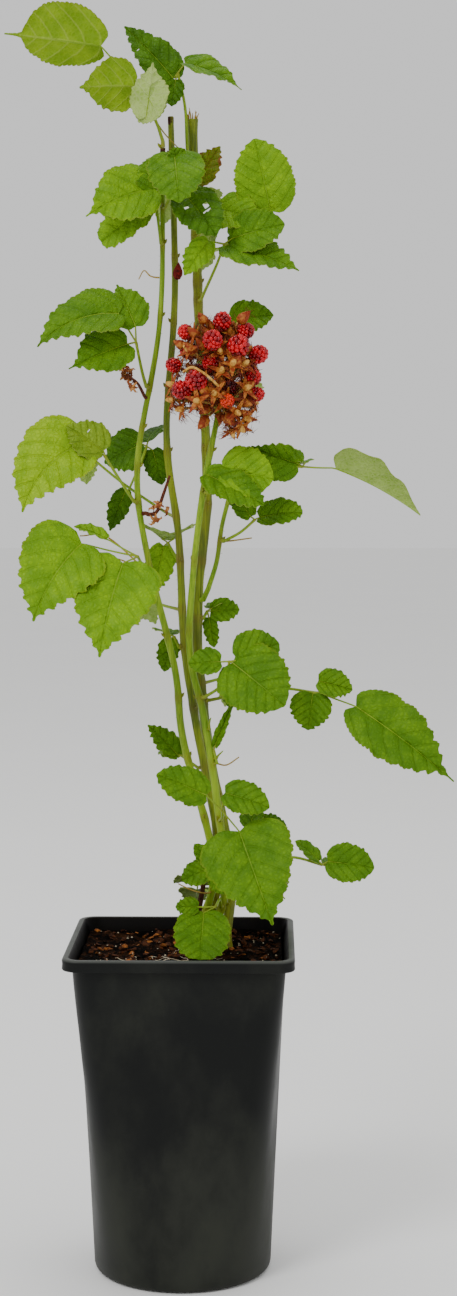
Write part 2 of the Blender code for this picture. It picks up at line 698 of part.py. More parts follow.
def one_body(mesh):
    """Keep the largest connected body of a mesh and tidy what the union left."""
    bm = bmesh.new()
    bm.from_mesh(mesh)
    bmesh.ops.remove_doubles(bm, verts=bm.verts, dist=3e-7)
    bmesh.ops.dissolve_degenerate(bm, edges=bm.edges, dist=1e-6)
    bmesh.ops.dissolve_limit(bm, angle_limit=math.radians(0.4), verts=bm.verts, edges=bm.edges)
    bmesh.ops.triangulate(bm, faces=bm.faces)
    bm.faces.index_update()
    seen, bodies = set(), []
    for face in bm.faces:
        if face.index in seen:
            continue
        body, queue = [], [face]
        seen.add(face.index)
        while queue:
            here = queue.pop()
            body.append(here)
            for edge in here.edges:
                if len(edge.link_faces) != 2:
                    continue
                for near in edge.link_faces:
                    if near.index not in seen:
                        seen.add(near.index)
                        queue.append(near)
        bodies.append(body)
    bodies.sort(key=len, reverse=True)
    scrap = [face for body in bodies[1:] for face in body]
    bmesh.ops.delete(bm, geom=scrap, context="FACES")
    bm.to_mesh(mesh)
    bm.free()


def tree_of(obj):
    """Return a search tree and the corners of an object's world mesh."""
    matrix = obj.matrix_world
    corners = [matrix @ v.co for v in obj.data.vertices]
    faces = [tuple(p.vertices) for p in obj.data.polygons]
    low = Vector([min(c[i] for c in corners) for i in range(3)])
    high = Vector([max(c[i] for c in corners) for i in range(3)])
    return BVHTree.FromPolygons(corners, faces), corners, low, high


def touches(one, other):
    """Say whether two solids cross or come nearer than the clearance."""
    for i in range(3):
        if one[2][i] > other[3][i] + CLEARANCE or one[3][i] < other[2][i] - CLEARANCE:
            return False
    if one[0].overlap(other[0]):
        return True
    for co in one[1]:
        if other[0].find_nearest(co, CLEARANCE)[0] is not None:
            return True
    for co in other[1]:
        if one[0].find_nearest(co, CLEARANCE)[0] is not None:
            return True
    return False


def first_contact(obj, placed):
    """Return the name of the first placed solid that an object would touch, or nothing."""
    mine = tree_of(obj)
    for name, tree in placed.items():
        if touches(mine, tree):
            return name
    return ""


def grow_mass(mass, parts, grown, placed, nudge):
    """Return the loose pieces of a mass: its stem, and each leaf's stalks and blades."""
    stem = mass.stem * MM
    knots = [Vector(v) * MM for v in mass.via]
    knots.append(Vector(mass.leaves[0].hub) * MM)
    start = root_on(grown[mass.cane], mass.height * MM, knots[0])
    path = [start[0]] + smooth_path([start[1]] + knots, 0.014)
    end = STALK_RADIUS * (1.2 + nudge)
    path[-1] += (path[-1] - path[-2]).normalized() * 0.0008
    radii = [stem + (end - stem) * i / (len(path) - 1) for i in range(len(path))]
    pieces = [tube(mass.name + "_stem", path, radii, parts, 4)]
    hit = first_contact(pieces[0], {k: v for k, v in placed.items() if k != mass.cane})
    if hit:
        print("stem of", mass.name, "touches", hit)
    count = 0
    for leaf in mass.leaves:
        hub = Vector(leaf.hub) * MM
        if leaf.start < 1.0:
            fork = path[round(leaf.start * (len(path) - 1))]
            line = smooth_path([fork, *(Vector(v) * MM for v in leaf.via), hub], 0.012)
            pieces.append(tube(mass.name + "_branch", line, [end * 0.97] * len(line), parts, 4))
        for blade in leaf.blades:
            count += 1
            rank = count % 4 - 1.5
            solid = make_blade("%s_%d" % (mass.name, count), blade, hub, nudge, rank, parts)
            hit = first_contact(solid, placed)
            if hit:
                print("leaflet", count, "of", mass.name, "would touch", hit)
                bpy.data.objects.remove(solid)
                continue
            pieces.append(solid)
    return pieces


def build_mass(mass, parts, grown, placed):
    """One mass, fused into one body, with slightly stouter stalks if the union isn't closed."""
    for attempt in range(6):
        pieces = grow_mass(mass, parts, grown, placed, attempt * 0.017)
        body = fuse(mass.name, pieces, parts)
        if is_closed(body.data):
            break
        if attempt < 5:
            bpy.data.objects.remove(body)
    finish(body, mass.colour, 0.55, 30.0)
    placed[mass.name] = tree_of(body)


def build_berry(name, centre, radius, middle, collection):
    """One berry: a round fruit, narrower at its tip, with its star of sepals behind it."""
    way = (centre - middle).normalized()
    turn = way.to_track_quat("Z", "Y").to_matrix().to_4x4()
    place = Matrix.Translation(centre) @ turn
    bm = bmesh.new()
    bmesh.ops.create_uvsphere(bm, u_segments=6, v_segments=5, radius=radius)
    for vert in bm.verts:
        vert.co.z *= 1.08
    bmesh.ops.transform(bm, matrix=place, verts=bm.verts)
    mesh = bpy.data.meshes.new(name)
    bm.to_mesh(mesh)
    bm.free()
    return add_object(name, mesh, collection)


def build_calyx(name, centre, way, collection):
    """The sepals behind a berry, as a shallow five-cornered cup."""
    bm = bmesh.new()
    size = CALYX_SIZE * MM
    place = Matrix.Translation(centre) @ way.to_track_quat("Z", "Y").to_matrix().to_4x4()
    bmesh.ops.create_cone(bm, cap_ends=True, segments=5, radius1=size * 0.2, radius2=size,
                          depth=size * 0.45)
    bmesh.ops.transform(bm, matrix=place, verts=bm.verts)
    mesh = bpy.data.meshes.new(name)
    bm.to_mesh(mesh)
    bm.free()
    return add_object(name, mesh, collection)


def build_fruit(parts, grown, placed):
    """The fruit cluster: a rachis with a stalk, a calyx and a berry for each fruit."""
    path = grown["cane_fruiting"][0]
    way = (path[-1] - path[-2]).normalized()
    foot = path[-1] + way * GAP * 1.5
    top = Vector(CLUSTER_TOP) * MM
    line = smooth_path([foot, foot + way * 0.004, foot.lerp(top, 0.5), top], 0.008)
    radii = [0.0016 - 0.0006 * i / (len(line) - 1) for i in range(len(line))]
    pieces = [tube("fruit_rachis", line, radii, parts, 6)]
    fruits = [(Vector(b[:3]) * MM, b[3] * MM) for b in BERRIES]
    fruits += [(Vector(s) * MM, 0.0) for s in SPENT]
    for i, (centre, radius) in enumerate(fruits):
        height = min(max(centre.z - 0.010, foot.z + 0.005), top.z - 0.002)
        root, _ = cane_at(line, radii, height)
        out = (centre - root).normalized()
        seat = centre - out * (radius + 0.0004)
        pieces.append(tube("pedicel_%d" % i, [root, seat + out * 0.0012], [0.0008, 0.0007], parts, 4))
        pieces.append(build_calyx("calyx_%d" % i, seat, out, parts))
        if radius:
            pieces.append(build_berry("berry_%d" % i, centre, radius, root, parts))
    kept = []
    for piece in pieces:
        hit = first_contact(piece, {k: v for k, v in placed.items() if k != "cane_fruiting"})
        if hit:
            print(piece.name, "of the fruit would touch", hit)
            bpy.data.objects.remove(piece)
        else:
            kept.append(piece)
    body = fuse("fruit_cluster", kept, parts)
    finish(body, "berry", 0.35, 50.0)
    placed["fruit_cluster"] = tree_of(body)


def build_dead(mass, parts, grown, placed, rng):
    """A dead twig: a bent stem with a few short broken side twigs."""
    knots = [Vector(v) * MM for v in mass.via]
    start = root_on(grown[mass.cane], mass.height * MM, knots[0])
    line = [start[0]] + smooth_path([start[1]] + knots, 0.005)
    radii = [mass.stem * MM * (1.0 - 0.4 * i / (len(line) - 1)) for i in range(len(line))]
    pieces = [tube(mass.name + "_stem", line, radii, parts, 6)]
    for i, (a, b) in enumerate(zip(line[2:], line[3:])):
        way = (b - a).normalized()
        turn = Matrix.Rotation(rng.uniform(0.0, math.tau), 3, way)
        off = (turn @ way.orthogonal().normalized() + way * 0.8).normalized()
        end = a + off * rng.uniform(0.003, 0.0055)
        twig = tube("%s_twig_%d" % (mass.name, i), [a, end], [0.0006, 0.0004], parts, 4)
        if first_contact(twig, placed):
            bpy.data.objects.remove(twig)
            continue
        pieces.append(twig)
    body = fuse(mass.name, pieces, parts)
    finish(body, mass.colour, 0.85, 40.0)
    placed[mass.name] = tree_of(body)


def main():
    """Build the whole plant and its pot."""
    clear_scene()
    parts = bpy.data.collections.new("potted_japanese_wineberry")
    cutters = bpy.data.collections.new("cutters")
    for collection in (parts, cutters):
        bpy.context.scene.collection.children.link(collection)
    rng = random.Random(17)
    grown, placed = {}, {}
    build_pot(parts, cutters)
    build_soil(parts)
    for cane in CANES + LATERALS:
        build_cane(cane, parts, grown)
    for name in ("pot", "soil"):
        placed[name] = tree_of(bpy.data.objects[name])
    for name, limb in grown.items():
        placed[name] = tree_of(limb[2])
    build_fruit(parts, grown, placed)
    for mass in FRONT:
        build_mass(mass, parts, grown, placed)
    for mass in DEAD:
        build_dead(mass, parts, grown, placed, rng)
    for mass in BACK:
        build_mass(mass, parts, grown, placed)


main()
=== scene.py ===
"""Potted Japanese wineberry: the looks of a young fruiting bush in its nursery pot.

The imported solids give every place. Units are metres, +Z is up and -Y is the front, and the
origin is the centre of the pot's underside. Leaves and canes are planned in millimetres.
"""
from __future__ import annotations

import logging
import math
import random
from collections.abc import Iterable, Sequence
from dataclasses import dataclass, field
from enum import Enum, IntEnum
from functools import lru_cache
from typing import Any, ClassVar

import bmesh
import bpy
from mathutils import Matrix, Vector, noise

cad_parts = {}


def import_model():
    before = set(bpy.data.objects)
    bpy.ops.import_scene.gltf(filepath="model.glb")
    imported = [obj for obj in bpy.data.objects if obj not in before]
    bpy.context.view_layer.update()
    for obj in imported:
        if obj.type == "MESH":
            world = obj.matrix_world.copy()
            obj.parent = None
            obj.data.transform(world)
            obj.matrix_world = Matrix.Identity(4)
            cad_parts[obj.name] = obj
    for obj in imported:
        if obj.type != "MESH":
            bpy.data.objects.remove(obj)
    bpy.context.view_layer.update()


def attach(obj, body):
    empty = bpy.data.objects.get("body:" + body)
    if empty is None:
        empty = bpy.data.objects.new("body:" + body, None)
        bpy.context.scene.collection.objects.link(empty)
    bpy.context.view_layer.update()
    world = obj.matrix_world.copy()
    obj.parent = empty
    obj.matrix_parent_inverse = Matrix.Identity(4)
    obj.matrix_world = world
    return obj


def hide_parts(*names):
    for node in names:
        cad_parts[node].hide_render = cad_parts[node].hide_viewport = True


LOG = logging.getLogger("wineberry")
MM = 0.001
GAP = 0.0003
VEIN_PAIRS = 7.0
SMOOTH = {"interpolation_type": "SMOOTHSTEP"}
RGBA = {"data_type": "RGBA"}
Limb = tuple[list[Vector], list[float]]


# ---------------------------------------------------------------- colour and shader helpers

def linear(colour: str) -> tuple[float, float, float, float]:
    """Turn an sRGB hex colour into linear light.

    Args:
        colour: six hex digits after a hash sign.

    Returns:
        Red, green, blue and alpha.
    """
    parts = [int(colour[i:i + 2], 16) / 255.0 for i in (1, 3, 5)]
    light = [c / 12.92 if c <= 0.04045 else ((c + 0.055) / 1.055) ** 2.4 for c in parts]
    return (light[0], light[1], light[2], 1.0)


def wire(tree: bpy.types.NodeTree, node: bpy.types.Node, links: dict[str | int, Any]) -> None:
    """Set a node's inputs.

    Args:
        tree: the material's node tree.
        node: the node.
        links: for each input, a plain value or a pair of a node and its output.
    """
    for socket, value in links.items():
        if isinstance(value, tuple) and len(value) == 2 and isinstance(value[0], bpy.types.Node):
            tree.links.new(value[0].outputs[value[1]], node.inputs[socket])
        else:
            node.inputs[socket].default_value = value


def add_node(tree: bpy.types.NodeTree, kind: str, links: dict[str | int, Any] | None = None,
             **settings: Any) -> bpy.types.Node:
    """Add a node with its settings and its links.

    Args:
        tree: the material's node tree.
        kind: the node's type without its ShaderNode prefix.
        links: for each input, a plain value or a pair of a node and its output.
        **settings: properties of the node.

    Returns:
        The new node.
    """
    node = tree.nodes.new("ShaderNode" + kind)
    for key, value in settings.items():
        setattr(node, key, value)
    wire(tree, node, links or {})
    return node


def new_material(name: str) -> tuple[bpy.types.Material, bpy.types.NodeTree, bpy.types.Node]:
    """Start a material.

    Args:
        name: what the material is.

    Returns:
        The material, its node tree and its shader.
    """
    mat = bpy.data.materials.new(name)
    mat.use_nodes = True
    return mat, mat.node_tree, mat.node_tree.nodes["Principled BSDF"]


# ---------------------------------------------------------------- finishes

@dataclass(frozen=True)
class LeafFinish:
    """Bramble leaf: a matt green skin quilted between sunken veins, or the felted underside."""

    name: str
    blade: str
    shade: str
    # Upper faces: darker than the blade, painted shade of the sunken veins; undersides: the veins' own pale colour
    vein: str
    rim: str
    vein_share: float = 0.2
    roughness: float = 0.52
    gloss: float = 0.14
    relief_mm: float = 0.36
    felted: bool = False
    vein_pairs: float = VEIN_PAIRS
    net_mm: float = 2.4
    net_share: float = 0.34
    mottle_mm: float = 12.0
    dried: str = ""

    def material(self) -> bpy.types.Material:
        """Dress one face of a leaf, with the veins that its own map gives.

        Living leaf skin is soft and matt: the eye sees darker furrows, small pillows of
        brighter green between them, and on the underside raised pale veins in felt. On the upper face the veins and
        their net are painted darker than the blade: painted shade in the sunken furrows, beside the bump.

        Returns:
            The material.
        """
        mat, tree, shader = new_material(self.name)
        place = add_node(tree, "UVMap", uv_map="veins")
        split = add_node(tree, "SeparateXYZ", {0: (place, 0)})
        across = add_node(tree, "Math", {0: (split, 0), 1: 0.5}, operation="SUBTRACT")
        off = add_node(tree, "Math", {0: (across, 0)}, operation="ABSOLUTE")
        midrib = add_node(tree, "MapRange", {0: (off, 0), 1: 0.008, 2: 0.028, 3: 1.0, 4: 0.0}, **SMOOTH)
        pairs = add_node(tree, "Math", {0: (split, 1), 1: self.vein_pairs}, operation="MULTIPLY")
        wave = add_node(tree, "Math", {0: (pairs, 0), 1: 0.5}, operation="PINGPONG")
        lateral = add_node(tree, "MapRange", {0: (wave, 0), 1: 0.02, 2: 0.11, 3: 0.8, 4: 0.0}, **SMOOTH)
        veins = add_node(tree, "Math", {0: (midrib, 0), 1: (lateral, 0)}, operation="MAXIMUM")
        spot = add_node(tree, "TexCoord")
        # Cross veins close meshes a millimetre wide, drawn larger here so that they show; on the upper face their
        # darker colour is painted shade in the furrows
        net = add_node(tree, "TexVoronoi", {"Vector": (spot, "Object"), "Scale": 1.0 / (self.net_mm * MM)},
                       feature="DISTANCE_TO_EDGE")
        net_line = add_node(tree, "MapRange", {0: (net, 0), 1: 0.0, 2: 0.34, 3: 1.0, 4: 0.0}, **SMOOTH)
        # Patches about a centimetre across, darker where the leaf is thicker
        patch = add_node(tree, "TexNoise", {"Vector": (spot, "Object"), "Scale": 1.0 / (self.mottle_mm * MM),
                                            "Detail": 4.0, "Roughness": 0.6})
        tone = add_node(tree, "MapRange", {0: (patch, 0), 1: 0.38, 2: 0.62}, **SMOOTH)
        plain = add_node(tree, "Mix", {0: (tone, 0), 6: linear(self.blade), 7: linear(self.shade)}, **RGBA)
        # Upper face: vein and net colour darker than the blade, painted shade in the furrows; underside: the veins'
        # own pale colour
        net_share = add_node(tree, "Math", {0: (net_line, 0), 1: self.net_share}, operation="MULTIPLY")
        net_and_furrow_shade = add_node(tree, "Mix", {0: (net_share, 0), 6: (plain, 2), 7: linear(self.vein)}, **RGBA)
        share = add_node(tree, "Math", {0: (veins, 0), 1: self.vein_share}, operation="MULTIPLY")
        veins_and_furrow_shade = add_node(tree, "Mix", {0: (share, 0), 6: (net_and_furrow_shade, 2), 7: linear(self.vein)}, **RGBA)
        border = add_node(tree, "MapRange", {0: (off, 0), 1: 0.465, 2: 0.5, 3: 0.0, 4: 0.5}, **SMOOTH)
        colour = add_node(tree, "Mix", {0: (border, 0), 6: (veins_and_furrow_shade, 2), 7: linear(self.rim)}, **RGBA)
        if self.dried:
            worn = add_node(tree, "TexNoise", {"Vector": (spot, "Object"), "Scale": 130.0, "Detail": 4.0})
            level = add_node(tree, "Math", {0: (worn, 0), 1: 0.8, 2: (off, 0)}, operation="MULTIPLY_ADD")
            brown = add_node(tree, "MapRange", {0: (level, 0), 1: 0.76, 2: 0.92}, **SMOOTH)
            colour = add_node(tree, "Mix", {0: (brown, 0), 6: (colour, 2), 7: linear(self.dried)}, **RGBA)
        side = 1.0 if self.felted else -1.0
        swell = add_node(tree, "MapRange", {0: (wave, 0), 1: 0.0, 2: 0.35, 3: 0.0, 4: -0.7 * side}, **SMOOTH)
        lift = add_node(tree, "Math", {0: (veins, 0), 1: side, 2: (swell, 0)}, operation="MULTIPLY_ADD")
        fine = add_node(tree, "Math", {0: (net_line, 0), 1: 0.7 * side, 2: (lift, 0)}, operation="MULTIPLY_ADD")
        grain = add_node(tree, "TexNoise", {"Vector": (spot, "Object"), "Scale": 380.0, "Detail": 3.0})
        height = add_node(tree, "Math", {0: (grain, 0), 1: 0.8, 2: (fine, 0)}, operation="MULTIPLY_ADD")
        relief = self.relief_mm * MM * (0.6 if self.felted else 1.0)
        bump = add_node(tree, "Bump", {"Height": (height, 0), "Strength": 1.0, "Distance": relief})
        wire(tree, shader, {"Base Color": (colour, 2), "Normal": (bump, 0), "Roughness": self.roughness,
                            "Specular IOR Level": self.gloss})
        return mat


@dataclass(frozen=True)
class StemFinish:
    """Green bark: smooth and yellowish, streaked lengthways and flushed red at the joints."""

    name: str
    young: str
    old: str
    flush: str
    roughness: float = 0.45
    streak_mm: float = 1.1

    def material(self) -> bpy.types.Material:
        """Dress living bark, with the flush that the mesh's own attribute gives.

        A thin waxy skin: the eye sees fine streaks up the cane, and rust-red joints.

        Returns:
            The material.
        """
        mat, tree, shader = new_material(self.name)
        spot = add_node(tree, "TexCoord")
        # Fibres about a millimetre apart run up the cane for two or three centimetres
        along = add_node(tree, "Mapping", {"Vector": (spot, "Object"), "Scale": (1.0, 1.0, 0.045)})
        fibre = add_node(tree, "TexNoise", {"Vector": (along, 0), "Scale": 1.0 / (self.streak_mm * MM),
                                            "Detail": 3.0, "Roughness": 0.6})
        patch = add_node(tree, "TexNoise", {"Vector": (spot, "Object"), "Scale": 26.0, "Detail": 3.0})
        both = add_node(tree, "Math", {0: (fibre, 0), 1: (patch, 0)}, operation="ADD")
        tone = add_node(tree, "MapRange", {0: (both, 0), 1: 0.78, 2: 1.25}, **SMOOTH)
        bark = add_node(tree, "Mix", {0: (tone, 0), 6: linear(self.young), 7: linear(self.old)}, **RGBA)
        flush = add_node(tree, "Attribute", attribute_name="flush")
        colour = add_node(tree, "Mix", {0: (flush, "Fac"), 6: (bark, 2), 7: linear(self.flush)}, **RGBA)
        bump = add_node(tree, "Bump", {"Height": (fibre, 0), "Strength": 0.5, "Distance": 0.15 * MM})
        wire(tree, shader, {"Base Color": (colour, 2), "Normal": (bump, 0), "Roughness": self.roughness,
                            "Specular IOR Level": 0.2})
        return mat


@dataclass(frozen=True)
class DryFinish:
    """Dead bark, withered bracts, bark chips and grit: matt, wrinkled and uneven in colour."""

    name: str
    light: str
    dark: str
    grain_mm: float = 1.2
    roughness: float = 0.85

    def material(self) -> bpy.types.Material:
        """Dress a dead or dry piece.

        Dry fibre scatters light: the eye sees no gloss, only light ridges and dark cracks.

        Returns:
            The material.
        """
        mat, tree, shader = new_material(self.name)
        spot = add_node(tree, "TexCoord")
        grain = add_node(tree, "TexNoise", {"Vector": (spot, "Object"), "Scale": 1.0 / (self.grain_mm * MM),
                                            "Detail": 5.0, "Roughness": 0.65})
        tone = add_node(tree, "MapRange", {0: (grain, 0), 1: 0.35, 2: 0.65}, **SMOOTH)
        colour = add_node(tree, "Mix", {0: (tone, 0), 6: linear(self.dark), 7: linear(self.light)}, **RGBA)
        bump = add_node(tree, "Bump", {"Height": (grain, 0), "Strength": 0.8, "Distance": 0.3 * MM})
        wire(tree, shader, {"Base Color": (colour, 2), "Normal": (bump, 0), "Roughness": self.roughness,
                            "Specular IOR Level": 0.15})
        return mat


@dataclass(frozen=True)
class BerryFinish:
    """Ripe fruit: wet-looking translucent red skin over juice."""

    name: str = "ripe_berry_skin"
    bright: str = "#cc0a1a"
    deep: str = "#7c0412"

    def material(self) -> bpy.types.Material:
        """Dress the drupelets, some riper than others.

        A tight wet skin over juice: the eye sees a small hard highlight on every drupelet
        and a glow of deeper red between them.

        Returns:
            The material.
        """
        mat, tree, shader = new_material(self.name)
        spot = add_node(tree, "TexCoord")
        # Patches of two or three drupelets ripen together, about four millimetres across
        patch = add_node(tree, "TexNoise", {"Vector": (spot, "Object"), "Scale": 240.0, "Detail": 1.0})
        tone = add_node(tree, "MapRange", {0: (patch, 0), 1: 0.38, 2: 0.66}, **SMOOTH)
        colour = add_node(tree, "Mix", {0: (tone, 0), 6: linear(self.bright), 7: linear(self.deep)}, **RGBA)
        wire(tree, shader, {"Base Color": (colour, 2), "Roughness": 0.2, "Specular IOR Level": 0.35,
                            "Coat Weight": 0.05, "Coat Roughness": 0.06, "Subsurface Weight": 0.12,
                            "Subsurface Scale": 1.5 * MM})
        return mat


@dataclass(frozen=True)
class CalyxFinish:
    """Bristly sepals and stalks: red-brown outside, straw-coloured where they open."""

    name: str
    outer: str
    inner: str
    blend_mm: float = 3.0
    roughness: float = 0.6

    def material(self) -> bpy.types.Material:
        """Dress sepals, stalks, bristles or bare cores.

        Soft tissue that dries as the fruit ripens: the eye sees rust run into straw.

        Returns:
            The material.
        """
        mat, tree, shader = new_material(self.name)
        spot = add_node(tree, "TexCoord")
        patch = add_node(tree, "TexNoise", {"Vector": (spot, "Object"), "Scale": 1.0 / (self.blend_mm * MM),
                                            "Detail": 3.0, "Roughness": 0.6})
        tone = add_node(tree, "MapRange", {0: (patch, 0), 1: 0.42, 2: 0.62}, **SMOOTH)
        colour = add_node(tree, "Mix", {0: (tone, 0), 6: linear(self.outer), 7: linear(self.inner)}, **RGBA)
        bump = add_node(tree, "Bump", {"Height": (patch, 0), "Strength": 0.4, "Distance": 0.2 * MM})
        wire(tree, shader, {"Base Color": (colour, 2), "Normal": (bump, 0), "Roughness": self.roughness,
                            "Specular IOR Level": 0.2})
        return mat


@dataclass(frozen=True)
class PotFinish:
    """Injection-moulded polypropylene: charcoal black, satin, faintly scuffed and dusty."""

    name: str = "moulded_polypropylene"
    body: str = "#0c0e0d"
    # Dust in cloudy patches, also used low down as painted floor bounce
    dust_and_bounce: str = "#30322b"
    # Pale line along the lip: partly rubbed wear, partly a painted highlight
    rubbed_lip_and_highlight: str = "#5e615c"
    gloss: float = 0.14
    grain_mm: float = 0.9

    def material(self) -> bpy.types.Material:
        """Dress the pot's wall and rim.

        The mould leaves a fine satin grain: the eye sees broad soft reflections, cloudy patches from handling,
        the dust colour low down as painted floor bounce, and a pale line along the rubbed lip that is partly a
        painted highlight.

        Returns:
            The material.
        """
        mat, tree, shader = new_material(self.name)
        spot = add_node(tree, "TexCoord")
        # Handling leaves cloudy patches a few centimetres long, drawn out downwards
        drawn = add_node(tree, "Mapping", {"Vector": (spot, "Object"), "Scale": (0.8, 0.8, 0.5)})
        cloud = add_node(tree, "TexNoise", {"Vector": (drawn, 0), "Scale": 24.0, "Detail": 6.0,
                                            "Roughness": 0.62})
        high = add_node(tree, "SeparateXYZ", {0: (spot, "Object")})
        # Painted floor bounce: the dust colour comes in more strongly low down, lightening the wall towards the
        # bottom; handling rubs the lip pale, and that pale line is also a painted highlight
        low = add_node(tree, "MapRange", {0: (high, 2), 1: 0.0, 2: 0.15, 3: 0.26, 4: 0.0}, **SMOOTH)
        level = add_node(tree, "Math", {0: (cloud, 0), 1: (low, 0)}, operation="ADD")
        dust_and_painted_bounce = add_node(tree, "MapRange", {0: (level, 0), 1: 0.44, 2: 0.92, 3: 0.0, 4: 0.8}, **SMOOTH)
        wall = add_node(tree, "Mix", {0: (dust_and_painted_bounce, 0), 6: linear(self.body), 7: linear(self.dust_and_bounce)}, **RGBA)
        # Painted highlight: a pale line along the lip, partly rubbed wear
        rubbed_lip_and_highlight = add_node(tree, "MapRange", {0: (high, 2), 1: 0.1916, 2: 0.1932, 3: 0.0, 4: 0.55}, **SMOOTH)
        colour = add_node(tree, "Mix", {0: (rubbed_lip_and_highlight, 0), 6: (wall, 2), 7: linear(self.rubbed_lip_and_highlight)}, **RGBA)
        rough = add_node(tree, "MapRange", {0: (cloud, 0), 1: 0.35, 2: 0.75, 3: 0.40, 4: 0.62}, **SMOOTH)
        grain = add_node(tree, "TexNoise", {"Vector": (spot, "Object"), "Scale": 1.0 / (self.grain_mm * MM),
                                            "Detail": 2.0})
        bump = add_node(tree, "Bump", {"Height": (grain, 0), "Strength": 0.25, "Distance": 0.08 * MM})
        wire(tree, shader, {"Base Color": (colour, 2), "Roughness": (rough, 0), "Normal": (bump, 0),
                            "Specular IOR Level": self.gloss})
        return mat


@dataclass(frozen=True)
class SoilFinish:
    """Damp peat: nearly black crumbs with browner dry ones."""

    name: str = "damp_peat_compost"
    wet: str = "#040201"
    dry: str = "#2e1a0b"
    crumb_mm: float = 2.2

    def material(self) -> bpy.types.Material:
        """Dress the soil's surface.

        Water darkens the fibres: the eye sees a black, crumbly mat with rusty specks.

        Returns:
            The material.
        """
        mat, tree, shader = new_material(self.name)
        spot = add_node(tree, "TexCoord")
        crumb = add_node(tree, "TexVoronoi", {"Vector": (spot, "Object"), "Scale": 1.0 / (self.crumb_mm * MM)})
        grain = add_node(tree, "TexNoise", {"Vector": (spot, "Object"), "Scale": 420.0, "Detail": 6.0,
                                            "Roughness": 0.7})
        patch = add_node(tree, "TexNoise", {"Vector": (spot, "Object"), "Scale": 60.0, "Detail": 4.0})
        both = add_node(tree, "Math", {0: (grain, 0), 1: (patch, 0)}, operation="ADD")
        tone = add_node(tree, "MapRange", {0: (both, 0), 1: 0.96, 2: 1.22}, **SMOOTH)
        colour = add_node(tree, "Mix", {0: (tone, 0), 6: linear(self.wet), 7: linear(self.dry)}, **RGBA)
        height = add_node(tree, "Math", {0: (crumb, "Distance"), 1: (grain, 0)}, operation="ADD")
        bump = add_node(tree, "Bump", {"Height": (height, 0), "Strength": 1.0, "Distance": 0.9 * MM})
        wire(tree, shader, {"Base Color": (colour, 2), "Normal": (bump, 0), "Roughness": 0.95,
                            "Specular IOR Level": 0.03})
        return mat


class Tone(Enum):
    """The leaf tones that the plan deals out, each an upper face and an underside."""

    LEAF = "leaf"
    FRESH = "leaf_fresh"
    BRIGHT = "leaf_bright"
    DEEP = "leaf_deep"
    PALE = "leaf_pale"
    YELLOW = "leaf_yellow"
    WORN = "leaf_worn"
    BACKLIT = "leaf_backlit"


# The upper faces' vein colours, darker than the blade, are painted shade in the sunken veins
UPPER = {
    Tone.LEAF: LeafFinish("leaf_upper_mature", "#5f8902", "#4b7502", "#3a5f02", "#6e800a"),
    Tone.FRESH: LeafFinish("leaf_upper_fresh", "#7ba604", "#648f03", "#507a04", "#82920e"),
    Tone.BRIGHT: LeafFinish("leaf_upper_bright", "#93b60c", "#7ca206", "#648a06", "#96a018"),
    Tone.DEEP: LeafFinish("leaf_upper_deep", "#4c7602", "#3b6202", "#2d4e02", "#567006"),
    Tone.PALE: LeafFinish("leaf_upper_pale", "#809c20", "#6c8a14", "#587410", "#828a2c"),
    Tone.YELLOW: LeafFinish("leaf_upper_yellowing", "#7d900a", "#5f7a06", "#4c6a04", "#90681a",
                            mottle_mm=8.0),
    Tone.WORN: LeafFinish("leaf_upper_withering", "#6c8406", "#527206", "#80561a", "#84561c",
                          dried="#7c4a1e", mottle_mm=7.0),
    # Painted light: BACKLIT greens are brighter and yellower, standing in for light shining through young leaves
    Tone.BACKLIT: LeafFinish("leaf_upper_young_backlit", "#88aa1a", "#749810", "#5e8210", "#909a28"),
}
UNDER = {
    Tone.LEAF: LeafFinish("leaf_felted_underside", "#8ba64a", "#7a9838", "#a2b46c", "#87973e",
                          roughness=0.8, gloss=0.1, felted=True),
    # Painted light: the backlit underside is brighter and yellower, standing in for light shining through it; its
    # pale veins are its own
    Tone.BACKLIT: LeafFinish("leaf_backlit_underside", "#7e9e0e", "#6a8e06", "#a4b650", "#80861a",
                             vein_share=0.4, net_share=0.1, roughness=0.7, gloss=0.1, felted=True),
    Tone.WORN: LeafFinish("leaf_felted_underside_dry", "#8c9440", "#7c8834", "#a09c60", "#7c6428",
                          roughness=0.8, gloss=0.1, felted=True),
    Tone.PALE: LeafFinish("leaf_felted_underside_pale", "#9cb45c", "#8aa648", "#b2c080", "#94a250",
                          vein_share=0.4, roughness=0.8, gloss=0.1, felted=True),
}
UNDER[Tone.FRESH] = UNDER[Tone.BRIGHT] = UNDER[Tone.DEEP] = UNDER[Tone.YELLOW] = UNDER[Tone.LEAF]
# Cane barks: their own yellow-greens, darkened a little as painted shade for the shadows that bamboo stakes cast on
# them
GREEN_BARK = StemFinish("green_cane_bark", "#86a21c", "#587c0e", "#74501e")
OLD_BARK = StemFinish("ripening_cane_bark", "#7c8a1c", "#4c5e14", "#6c4a1c")
STALK_BARK = StemFinish("leaf_stalk_skin", "#86a022", "#688a12", "#8a6a34", streak_mm=0.7)
DEAD_BARK = DryFinish("dead_cane_bark", "#4c2c18", "#1e100a")
DEAD_TWIG_BARK = DryFinish("dead_twig_bark", "#6e3a24", "#34160e", grain_mm=0.9)
WITHERED = DryFinish("withered_bracts", "#9c5832", "#643018", grain_mm=0.8)
WITHERED_PALE = DryFinish("withered_petals", "#cc9658", "#96562a", grain_mm=0.8)
WITHERED_BUD = DryFinish("withered_bud", "#7a1a16", "#340a0a", grain_mm=1.0)
DRY_STRAW = DryFinish("dry_straw_stalk", "#b49648", "#7c6428", grain_mm=0.7)
SEPALS = CalyxFinish("bristly_sepals", "#8a3416", "#b4722e")
FRUIT_STALKS = CalyxFinish("fruit_stalks", "#b88448", "#b7a852")
